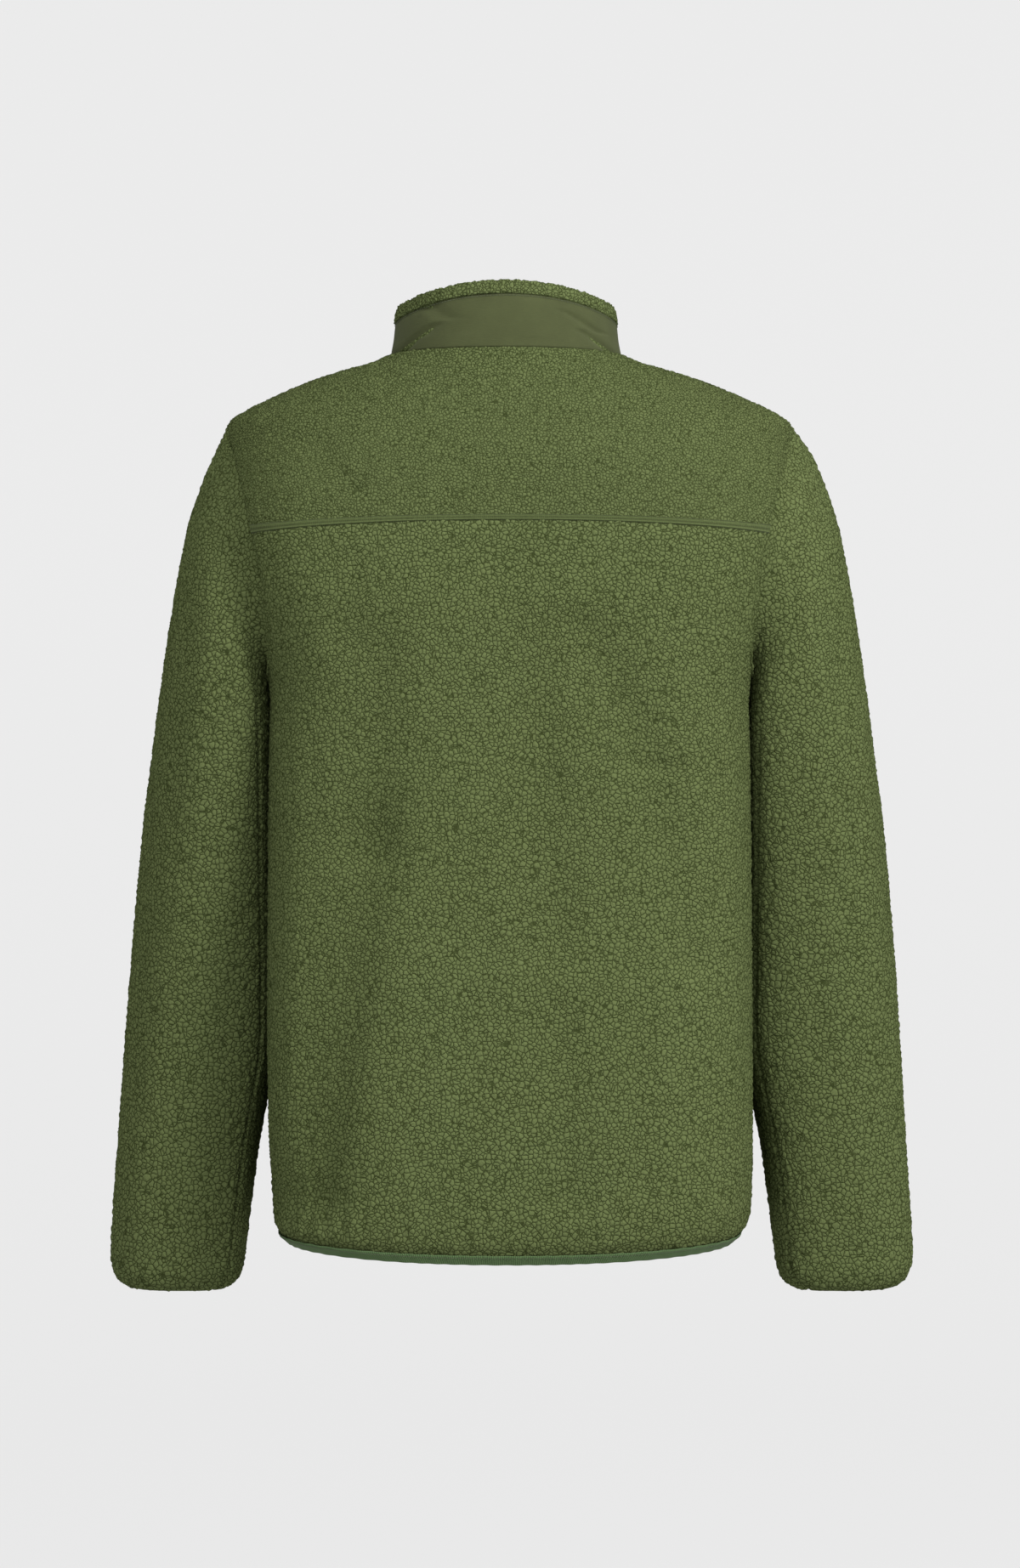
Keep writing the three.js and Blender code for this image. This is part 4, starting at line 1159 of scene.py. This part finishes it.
class JACKET_OT_collar(bpy.types.Operator):
    """Make the collar's woven outside, and the fleece inside that rolls over its top edge"""

    bl_idname = "jacket.collar"
    bl_label = "Collar"

    def execute(self, context):
        sizes, colours = settings()
        half, share = whole_way(63, 66, COLLAR_ROWS)
        height = collar_height(half, share)[:, None]
        rows = np.linspace(0, 1, 31)[None, :]
        up = 0.15 + rows * (height - roll_height(half, share) - SEAM_GAP - 0.15)
        outer = collar_points(half, share, 0.0, up).transpose(1, 0, 2)
        inner = collar_points(half, share, -SHELL_WALL, up).transpose(1, 0, 2)
        normal = unit(outer - inner)
        puff = 0.5 * np.sin(np.pi * rows.T) ** 0.7
        crease = fold_depth(COLLAR_CREASES, outer[..., 0], outer[..., 2]) * (outer[..., 1] > 0)
        outer = outer + normal * (puff - crease)[..., None]
        inner = inner + normal * (puff - crease)[..., None]
        points, faces = closed_shell(outer, inner[::3, ::3], 3)
        along = np.broadcast_to(way_round(outer[15]), outer.shape[:2])
        lie = np.stack([along, up.T, np.zeros_like(along)], axis=-1)
        lies = np.concatenate([lie.reshape(-1, 3), lie[::3, ::3].reshape(-1, 3)]) * METRES
        shell = make_piece("collar_cloth", points, faces, marks={"lie": lies})
        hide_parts("collar_shell")
        shell.data.materials.append(woven_finish("collar_weave", colours.collar, 0.0006))
        self.make_roll(half, share, sizes)
        return {"FINISHED"}

    def make_roll(self, half, share, sizes):
        """The collar's fleece as one closed profile: up behind the shell, out and over the edge
        in a round roll, and down the inside."""
        height = collar_height(half, share)[:, None]
        against = -SHELL_WALL - SEAM_GAP
        within = against - COLLAR_FLEECE_WALL
        middle = (ROLL_PROUD + within) / 2
        reach = (ROLL_PROUD - within) / 2
        turn = np.linspace(0, np.pi, 19)[None, :]
        roll_out = np.broadcast_to(middle + reach * np.cos(turn), (len(share), 19))
        roll_up = height - 3.4 + 3.4 * np.sin(turn) ** 0.8
        low = 0.15
        climb = np.linspace(0, 1, 10)[None, :]
        roll = roll_height(half, share)
        behind_up = low + climb * (height - roll - low)
        lip_up = height - roll + (roll - 3.4) * np.array([[0.0, 0.04, 0.26, 0.62]])
        lip_out = np.array([[0.55, 0.85, 1.0, 1.0]]) * ROLL_PROUD
        inside = np.linspace(1, 0, 24)[None, 1:]
        inside_up = low + inside * (height - 3.4 - low)
        out = np.concatenate(
            [
                np.broadcast_to(against, behind_up.shape),
                np.broadcast_to(lip_out, lip_up.shape),
                roll_out[:, 1:],
                np.broadcast_to(within, inside_up.shape),
            ],
            axis=1,
        )
        up = np.concatenate([behind_up, lip_up, roll_up[:, 1:], inside_up], axis=1)
        profiles = collar_points(half, share, out, up)
        points, faces = swept(profiles)
        raised = np.ones(out.shape)
        raised[:, :11] = 0
        raised[:, -1] = 0
        raised[[0, -1]] = 0
        # The collar's fleece gets no painted shade of folds
        marks = {"cloth": points * METRES, "raised": raised.ravel(), "fold_shade": raised.ravel() * 0}
        piece = make_piece("collar_lining", points, faces, marks=marks)
        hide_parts("collar_fleece")
        finish = fleece_finish("collar_pile", sizes.collar_pebble, 1.0)
        raise_pile(piece, sizes.collar_pebble * 0.75, sizes.pile * 1.2, finish)


def way_round(points):
    """The way along a line of points, from its start."""
    steps = np.linalg.norm(np.diff(points, axis=0), axis=-1)
    return np.concatenate([[0], np.cumsum(steps)])


def woven_finish(name, tint, thread, sheen=0.02, rough=0.85):
    """Plain weave: two crossed waves along and across the cloth, each thread a little its own."""
    material = new_finish(name)
    tree = material.node_tree
    lie = mark(tree, "lie")
    along, across, _ = parts_of(tree, lie)
    warp = (along * (math.pi / thread)).sine()
    weft = (across * (math.pi / thread)).sine()
    weave = abs(warp * weft)
    slubs = noise(tree, vector_maths(tree, "MULTIPLY", lie, (1.0, 6.0, 1.0)), 0.004, 3.0, 0.6)
    cloudy = noise(tree, lie, 0.02, 2.0, 0.5)
    light = (weave * 0.35 + slubs * 0.5 + cloudy * 0.35 - 0.1).between(0.0, 1.0)
    base = mix_colours(tree, light, shaded(tint, 0.72), shaded(tint, 1.22))
    bumps = [(weave, 0.00018), (slubs, 0.0002)]
    return finish_with(material, base, rough + slubs * 0.1, bumps, sheen, specular=0.08)


def ribbed_finish(name, tint):
    """Elastic binding: fine upright ribs along it, a little lighter on their crowns and darker between them."""
    material = new_finish(name)
    tree = material.node_tree
    lie = mark(tree, "lie")
    along, across, _ = parts_of(tree, lie)
    ribs = (along * (2 * math.pi / 0.0016)).sine() * 0.5 + 0.5
    rows = (across * (2 * math.pi / 0.0009)).sine() * 0.5 + 0.5
    slubs = noise(tree, lie, 0.0022, 3.0, 0.6)
    light = (ribs * 0.45 + rows * 0.15 + slubs * 0.5 - 0.05).between(0.0, 1.0)
    base = mix_colours(tree, light, shaded(tint, 0.6), shaded(tint, 1.3))
    bumps = [(ribs, 0.0003), (slubs, 0.0002)]
    return finish_with(material, base, 0.75 + slubs * 0.1, bumps, 0.02, specular=0.08)


def thread_finish(name, tint):
    """Spun thread: fine slanting twists over an even colour."""
    material = new_finish(name)
    tree = material.node_tree
    place = output(tree, "ShaderNodeTexCoord", name="Object")
    x, y, z = parts_of(tree, place)
    twist = ((x + y * 0.6 + z * 0.8) * (2 * math.pi / 0.0005)).sine() * 0.5 + 0.5
    fuzz = noise(tree, place, 0.0008, 2.0, 0.6)
    light = (twist * 0.5 + fuzz * 0.5).between(0.1, 0.9)
    base = mix_colours(tree, light, shaded(tint, 0.7), shaded(tint, 1.25))
    return finish_with(material, base, 0.7 + fuzz * 0.15, [(twist, 0.0001)], 0.1)


def metal_finish(name, tint):
    """Cast and plated metal: faint grain, a few rubbed places, and soft gloss."""
    material = new_finish(name)
    tree = material.node_tree
    place = output(tree, "ShaderNodeTexCoord", name="Object")
    grain = noise(tree, place, 0.0006, 3.0, 0.6)
    rubbed = noise(tree, place, 0.006, 2.0, 0.5).between(0.45, 0.7)
    base = mix_colours(tree, rubbed, shaded(tint, 0.75), shaded(tint, 1.2))
    rough = 0.36 + grain * 0.14 - rubbed * 0.08
    return finish_with(material, base, rough, [(grain, 0.00004)], metallic=1.0, specular=0.5)


def moulded_finish(name, tint):
    """Moulded plastic: an even colour with a fine orange-peel surface."""
    material = new_finish(name)
    tree = material.node_tree
    place = output(tree, "ShaderNodeTexCoord", name="Object")
    peel = noise(tree, place, 0.0009, 2.0, 0.5)
    worn = noise(tree, place, 0.012, 2.0, 0.5)
    base = mix_colours(tree, worn, shaded(tint, 0.85), shaded(tint, 1.15))
    return finish_with(material, base, 0.34 + peel * 0.12, [(peel, 0.00005)], specular=0.5)


class JACKET_OT_binding(bpy.types.Operator):
    """Make the elastic binding folded round the hem"""

    bl_idname = "jacket.binding"
    bl_label = "Hem binding"

    def execute(self, context):
        _, colours = settings()
        half, share = whole_way(150, 150, TORSO_ROWS)
        outside = SEAM_GAP + BINDING_WALL - HEM_PINCH
        inside = -FLEECE_WALL - SEAM_GAP - BINDING_WALL
        middle = (outside + inside) / 2
        reach = (outside - inside) / 2
        turn = np.linspace(0, np.pi, 15)
        bend = SEAM_GAP + BINDING_WALL

        def loop(half_width, drop, top, lip):
            """One side of the U: down the outside, round the bottom, and up the inside."""
            climb = np.array([0.0, 0.6, 2.0, 4.5, 7.0])
            level = np.concatenate([top - climb, np.full(15, HEM_LEVEL), top - climb[::-1]])
            out = np.concatenate(
                [
                    middle + half_width - np.array(lip),
                    middle + half_width * np.cos(turn),
                    middle - half_width + np.array(lip)[::-1],
                ]
            )
            down = np.concatenate([np.zeros(5), drop * np.sin(turn) ** 0.7, np.zeros(5)])
            return level, out, down

        top = BINDING_LEVEL - SEAM_GAP
        outer = loop(reach, bend, top, (0.45, 0.08, 0, 0, 0))
        inner = loop(reach - BINDING_WALL, SEAM_GAP, top, (-0.45, -0.08, 0, 0, 0))
        level, out, down = (np.concatenate([a, b[::-1]]) for a, b in zip(outer, inner))
        shape = (len(half), len(level))
        wide = [np.broadcast_to(a, shape) for a in (level, out, down)]
        halves = np.broadcast_to(half[:, None], shape)
        shares = np.broadcast_to(share[:, None], shape)
        points = beside_ring(TORSO_ROWS, halves, shares, wide[0], wide[1], wide[2])
        spread = way_round(points[:, 2])
        gather = 0.22 * np.sin(spread / 2.3 + 1.3 * np.sin(spread / 17))
        normals = unit(points[:, 2] - points[:, -3])
        points = points + (normals * gather[:, None])[:, None, :]
        across = way_round(points[0])
        lie = np.stack(
            np.broadcast_arrays(spread[:, None], across[None, :], np.zeros((1, 1))), axis=-1
        )
        verts, faces = swept(points)
        marks = {"lie": lie.reshape(-1, 3) * METRES}
        piece = make_piece("binding", verts, faces, marks=marks)
        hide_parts("hem_binding")
        piece.data.materials.append(ribbed_finish("elastic", colours.binding))
        return {"FINISHED"}


class JACKET_OT_seams(bpy.types.Operator):
    """Sew the flat band over the yoke seam and the stitches along the collar's edge"""

    bl_idname = "jacket.seams"
    bl_label = "Seams"

    def execute(self, context):
        _, colours = settings()
        self.make_band(colours)
        self.make_edge_stitches(colours)
        return {"FINISHED"}

    def yoke_line(self, count, way):
        """A line beside the yoke seam, a way above it, and its outward directions."""
        shares = np.linspace(-1, 1, count)
        levels = np.array([YOKE_LEVEL + way])
        surface, _, normals, _ = body_surface(BACK, levels, shares, 0)
        return surface[0], normals[0]

    def make_band(self, colours):
        """The band: a low crown across the seam, sunk a little into the fleece at its edges and drawn in
        at each stitch."""
        across = np.linspace(-1, 1, 13)
        lines = [self.yoke_line(720, way * 2.3) for way in across]
        surface = np.stack([line[0] for line in lines])
        normals = np.stack([line[1] for line in lines])
        spread = way_round(surface[6])
        crown = 0.45 * (1 - np.abs(across[:, None]) ** 4) - 0.15
        ridge = 0.16 * np.cos(across[:, None] * 2 * np.pi * 1.5)
        stitch = 0.12 * np.sin(2 * np.pi * spread / 1.4)[None, :] * (1 - np.abs(across[:, None]))
        outer = surface + normals * (crown + ridge + stitch)[..., None]
        inner = surface - normals * 1.6
        points, faces = closed_shell(outer, inner, 1)
        lie = np.stack(
            np.broadcast_arrays(spread[None, :], across[:, None] * 2.3, np.zeros((1, 1))), axis=-1
        ).reshape(-1, 3)
        marks = {"lie": np.concatenate([lie, lie]) * METRES}
        piece = make_piece("yoke_band", points, faces, marks=marks)
        piece.data.materials.append(band_finish("flat_seam", colours.band))
        return piece

    def make_edge_stitches(self, colours):
        """The stitch line under the collar's roll, and the one along the binding's top edge."""
        rows = []
        half, share = whole_way(200, 220, COLLAR_ROWS)
        height = collar_height(half, share)[:, None]
        up = height - roll_height(half, share) - 1.6
        line = collar_points(half, share, 0.35, up)[:, 0]
        normals = unit(line - collar_points(half, share, -1.0, up)[:, 0])
        rows.append(thread_row(line, normals, 2.4, 1.7, 0.24))
        half, share = whole_way(300, 300, TORSO_ROWS)
        level = np.full(len(half), BINDING_LEVEL - 2.2)
        out = SEAM_GAP + BINDING_WALL - HEM_PINCH + 0.1
        line = beside_ring(TORSO_ROWS, half, share, level, np.full(len(half), out))
        normals = unit(line - beside_ring(TORSO_ROWS, half, share, level, np.full(len(half), -2.0)))
        rows.append(thread_row(line, normals, 2.6, 1.9, 0.26))
        points, faces = joined(rows)
        piece = make_piece("edge_stitches", points, faces)
        piece.data.materials.append(thread_finish("edge_thread", colours.thread))
        return piece


def band_finish(name, tint):
    """The flat seam's threads: fine ones across it at each stitch, and dark holes in three rows."""
    material = new_finish(name)
    tree = material.node_tree
    lie = mark(tree, "lie")
    along, across, _ = parts_of(tree, lie)
    strands = (along * (2 * math.pi / 0.00075) + across * 900.0).sine() * 0.5 + 0.5
    fuzz = noise(tree, lie, 0.0009, 2.0, 0.6)
    between = (along * (2 * math.pi / 0.00145)).sine().between(-0.2, 0.6)
    edges = abs(across).between(0.0014, 0.0018)
    centre = 1 - abs(across).between(0.0003, 0.0007)
    holes = (between * 0.6 + 0.4) * edges.most(centre * 0.75)
    light = (strands * 0.5 + fuzz * 0.5).between(0.0, 1.0) * (1 - holes * 0.9)
    base = mix_colours(tree, light, shaded(tint, 0.25), shaded(tint, 1.25))
    bumps = [(1 - holes, 0.0004), (strands, 0.0002), (fuzz, 0.0002)]
    return finish_with(material, base, 0.8 + fuzz * 0.1, bumps, 0.02, specular=0.04)


class JACKET_OT_zip(bpy.types.Operator):
    """Make the zip's woven tapes and its two rows of moulded teeth"""

    bl_idname = "jacket.zip"
    bl_label = "Zip"

    def stations(self, below_top, step):
        """Stations up the middle of the front, from the binding to the collar's top: points,
        outward directions, and the half width of the tape at each."""
        narrow = FRONT_OPENING - 2 * SEAM_GAP
        body = np.arange(BINDING_LEVEL + 0.5, NECK_LEVEL, step)
        middle = np.zeros_like(body)
        point = ring_point(TORSO_ROWS, FRONT, middle, body)
        normal = ring_normal(TORSO_ROWS, FRONT, middle, body)
        reach = np.interp(
            body,
            [BINDING_LEVEL + 1, PINCH_END_LEVEL, NECK_LEVEL - 4, NECK_LEVEL - 1],
            [narrow, TAPE_HALF_WIDTH, TAPE_HALF_WIDTH, narrow],
        )
        height = collar_height(np.array([FRONT]), np.array([1e-6]))[0]
        up = np.arange(1.0, height - below_top, step) / height
        middle = np.zeros_like(up)
        collar = ring_point(COLLAR_ROWS, FRONT, middle, up)
        collar_normal = ring_normal(COLLAR_ROWS, FRONT, middle, up)
        points = np.concatenate([point, collar])
        normals = np.concatenate([normal, collar_normal])
        reach = np.concatenate([reach, np.full(len(up), narrow)])
        return points, normals, reach

    def execute(self, context):
        _, colours = settings()
        finish = woven_finish("zip_weave", colours.tape, 0.0005)
        points, normals, reach = self.stations(TAPE_BELOW_TOP, 2.0)
        near = CHAIN_HALF_WIDTH + SEAM_GAP - 1.6
        share = np.linspace(0, 1, 13)
        for name, node_name, side in (
            ("tape_left", "zip_tape_left", 1),
            ("tape_right", "zip_tape_right", -1),
        ):
            x = side * (near + (reach[:, None] - near) * share[None, :])
            middle = points - normals * ZIP_SETBACK
            sheet = np.repeat(middle[:, None], 13, axis=1)
            sheet[..., 0] = x
            cord = 0.25 * np.exp(-(((np.abs(x) - near - 0.8) / 0.8) ** 2))
            outer = sheet + normals[:, None] * (TAPE_WALL / 2 + cord)[..., None]
            inner = sheet - normals[:, None] * (TAPE_WALL / 2 + cord)[..., None]
            found, faces = closed_shell(outer, inner, 1)
            way = way_round(points)
            lie = np.stack(np.broadcast_arrays(way[:, None], x, np.zeros((1, 1))), axis=-1)
            lie = lie.reshape(-1, 3) * METRES
            piece = make_piece(
                name, found, faces, marks={"lie": np.concatenate([lie, lie])}
            )
            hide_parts(node_name)
            piece.data.materials.append(finish)
        self.make_teeth(colours)
        return {"FINISHED"}

    def make_teeth(self, colours):
        """Each tooth is a rounded block, a superellipsoid with flat cheeks, and the two rows
        take turns up the zip."""
        points, normals, _ = self.stations(CHAIN_BELOW_TOP, 0.5)
        way = way_round(points)
        pitch = 2.5
        count = int(way[-1] / pitch)
        around = 8
        rings = 5
        turn = np.arange(around) * 2 * np.pi / around + np.pi / around
        tilt = np.linspace(-np.pi / 2, np.pi / 2, rings + 2)[1:-1]

        def bent(values, power):
            return np.sign(values) * np.abs(values) ** power

        shape_x = bent(np.cos(tilt)[:, None], 0.35) * bent(np.cos(turn)[None], 0.45)
        shape_y = bent(np.cos(tilt)[:, None], 0.35) * bent(np.sin(turn)[None], 0.45)
        shape_z = bent(np.sin(tilt)[:, None], 0.35) + np.zeros((1, around))
        meshes = []
        for side in (1, -1):
            centres = (np.arange(count) + (0.75 if side < 0 else 0.25)) * pitch
            place = np.stack([np.interp(centres, way, points[:, i]) for i in range(3)], axis=-1)
            out = unit(np.stack([np.interp(centres, way, normals[:, i]) for i in range(3)], axis=-1))
            place = place - out * ZIP_SETBACK
            across = np.array([1.0, 0.0, 0.0])
            up = unit(np.cross(out, across))
            wide = 1.95
            middle = 0.85 * side
            tall = 0.98
            verts = (
                place[:, None]
                + across * (middle + wide * shape_x.ravel())[None, :, None]
                + up[:, None] * (tall * shape_z.ravel())[None, :, None]
                + out[:, None] * (CHAIN_DEPTH / 2 * shape_y.ravel())[None, :, None]
            )
            size = around * rings
            one = grid_faces(rings, around, wraps=True)
            ends = np.stack([np.arange(around)[::-1], np.arange(around) + size - around])
            offsets = (np.arange(count) * size)[:, None, None]
            faces = [(one[None] + offsets).reshape(-1, 4), (ends[None] + offsets).reshape(-1, around)]
            meshes.append((verts.reshape(-1, 3), facing_out(verts.reshape(-1, 3), faces)))
        found, faces = joined(meshes)
        piece = make_piece("teeth", found, faces)
        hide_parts("zip_chain")
        piece.data.materials.append(moulded_finish("moulded_teeth", colours.teeth))
        return piece


class JACKET_OT_slider(bpy.types.Operator):
    """Finish the slider and its pull tab in plated metal"""

    bl_idname = "jacket.slider"
    bl_label = "Slider"

    def execute(self, context):
        _, colours = settings()
        finish = metal_finish("plated_metal", colours.metal)
        for name in ("zip_slider", "zip_pull"):
            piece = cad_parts[name]
            piece.data.materials.clear()
            piece.data.materials.append(finish)
        return {"FINISHED"}


class JACKET_OT_stage(bpy.types.Operator):
    """Set up the pale floor and wall, the soft lights and the camera"""

    bl_idname = "jacket.stage"
    bl_label = "Studio"

    def execute(self, context):
        _, colours = settings()
        self.make_sweep(colours)
        self.make_lights()
        self.make_camera()
        return {"FINISHED"}

    def make_sweep(self, colours):
        """A round floor that bends up into a low wall all round: a profile of radius and height
        carried round a circle."""
        floor = -1600.0
        wall = 6500.0
        bend = 1800.0
        turn = np.linspace(0, np.pi / 2, 17)
        radius = np.concatenate([[1.0, wall / 2], wall - bend + bend * np.sin(turn), [wall]])
        height = np.concatenate([[floor, floor], floor + bend - bend * np.cos(turn), [3400.0]])
        around = np.linspace(0, 2 * np.pi, 96, endpoint=False)
        x = radius[:, None] * np.cos(around)
        y = radius[:, None] * np.sin(around)
        grid = np.stack([x, y, height[:, None] + np.zeros(96)], axis=-1)
        faces = [grid_faces(len(radius), 96, wraps=True), np.arange(96)[None, ::-1]]
        piece = make_piece("studio_sweep", grid.reshape(-1, 3), faces)
        material = new_finish("studio_paper")
        tree = material.node_tree
        place = output(tree, "ShaderNodeTexCoord", name="Object")
        grain = noise(tree, place, 0.05, 2.0, 0.5)
        base = mix_colours(tree, grain, shaded(colours.studio, 0.99), shaded(colours.studio, 1.01))
        finish_with(material, base, 0.95, [(grain, 0.0001)], specular=0.0)
        shader = tree.nodes["Principled BSDF"]
        shader.inputs["Emission Color"].default_value = (1.0, 1.0, 1.0, 1.0)
        shader.inputs["Emission Strength"].default_value = 0.74
        piece.data.materials.append(material)

    def make_lights(self):
        """Faint even light from all round, a soft key lamp behind the wearer's right shoulder,
        another high over the back, and a weak fill on the other side."""
        world = bpy.data.worlds.new("studio_air")
        world.use_nodes = True
        world.node_tree.nodes["Background"].inputs[0].default_value = (1.0, 1.0, 1.0, 1.0)
        world.node_tree.nodes["Background"].inputs[1].default_value = 0.1
        bpy.context.scene.world = world
        for name, place, size, power in (
            ("key", (-2.3, 2.1, 1.2), 0.5, 650.0),
            ("overhead", (0.3, 1.6, 2.6), 0.5, 340.0),
            ("fill", (1.9, 2.5, 0.3), 0.5, 90.0),
        ):
            lamp = bpy.data.lights.new(name, "POINT")
            lamp.shadow_soft_size = size
            lamp.energy = power
            thing = bpy.data.objects.new(name, lamp)
            bpy.context.scene.collection.objects.link(thing)
            thing.location = place
            thing.visible_camera = False

    def make_camera(self):
        lens = bpy.data.cameras.new("camera")
        lens.lens = 83.4
        lens.sensor_width = 36.0
        lens.clip_end = 50.0
        camera = bpy.data.objects.new("camera", lens)
        bpy.context.scene.collection.objects.link(camera)
        camera.location = (0.0, 2.8, -0.329)
        camera.rotation_euler = (math.pi / 2, 0.0, math.pi)
        bpy.context.scene.camera = camera
        bpy.context.scene.view_settings.view_transform = "Standard"


class JACKET_PT_panel(bpy.types.Panel):
    """Lists the jacket's pieces in the sidebar"""

    bl_label = "Fleece Jacket"
    bl_idname = "JACKET_PT_panel"
    bl_space_type = "VIEW_3D"
    bl_region_type = "UI"
    bl_category = "Jacket"

    def draw(self, context):
        sizes, colours = settings()
        for name in sizes.bl_rna.properties.keys()[2:]:
            self.layout.prop(sizes, name)
        for name in colours.bl_rna.properties.keys()[2:]:
            self.layout.prop(colours, name)
        for operator in OPERATORS:
            self.layout.operator(operator.bl_idname)


OPERATORS = (
    JACKET_OT_body,
    JACKET_OT_sleeves,
    JACKET_OT_collar,
    JACKET_OT_binding,
    JACKET_OT_seams,
    JACKET_OT_zip,
    JACKET_OT_slider,
    JACKET_OT_stage,
)
CLASSES = (JacketSizes, JacketColours, *OPERATORS, JACKET_PT_panel)


def register():
    for item in CLASSES:
        bpy.utils.register_class(item)
    bpy.types.Scene.jacket_sizes = bpy.props.PointerProperty(type=JacketSizes)
    bpy.types.Scene.jacket_colours = bpy.props.PointerProperty(type=JacketColours)


def unregister():
    del bpy.types.Scene.jacket_colours
    del bpy.types.Scene.jacket_sizes
    for item in reversed(CLASSES):
        bpy.utils.unregister_class(item)


def main():
    """Registers the classes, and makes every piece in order."""
    register()
    bpy.ops.jacket.body()
    bpy.ops.jacket.sleeves()
    bpy.ops.jacket.collar()
    bpy.ops.jacket.binding()
    bpy.ops.jacket.seams()
    bpy.ops.jacket.zip()
    bpy.ops.jacket.slider()
    bpy.ops.jacket.stage()


if __name__ == "__main__":
    main()
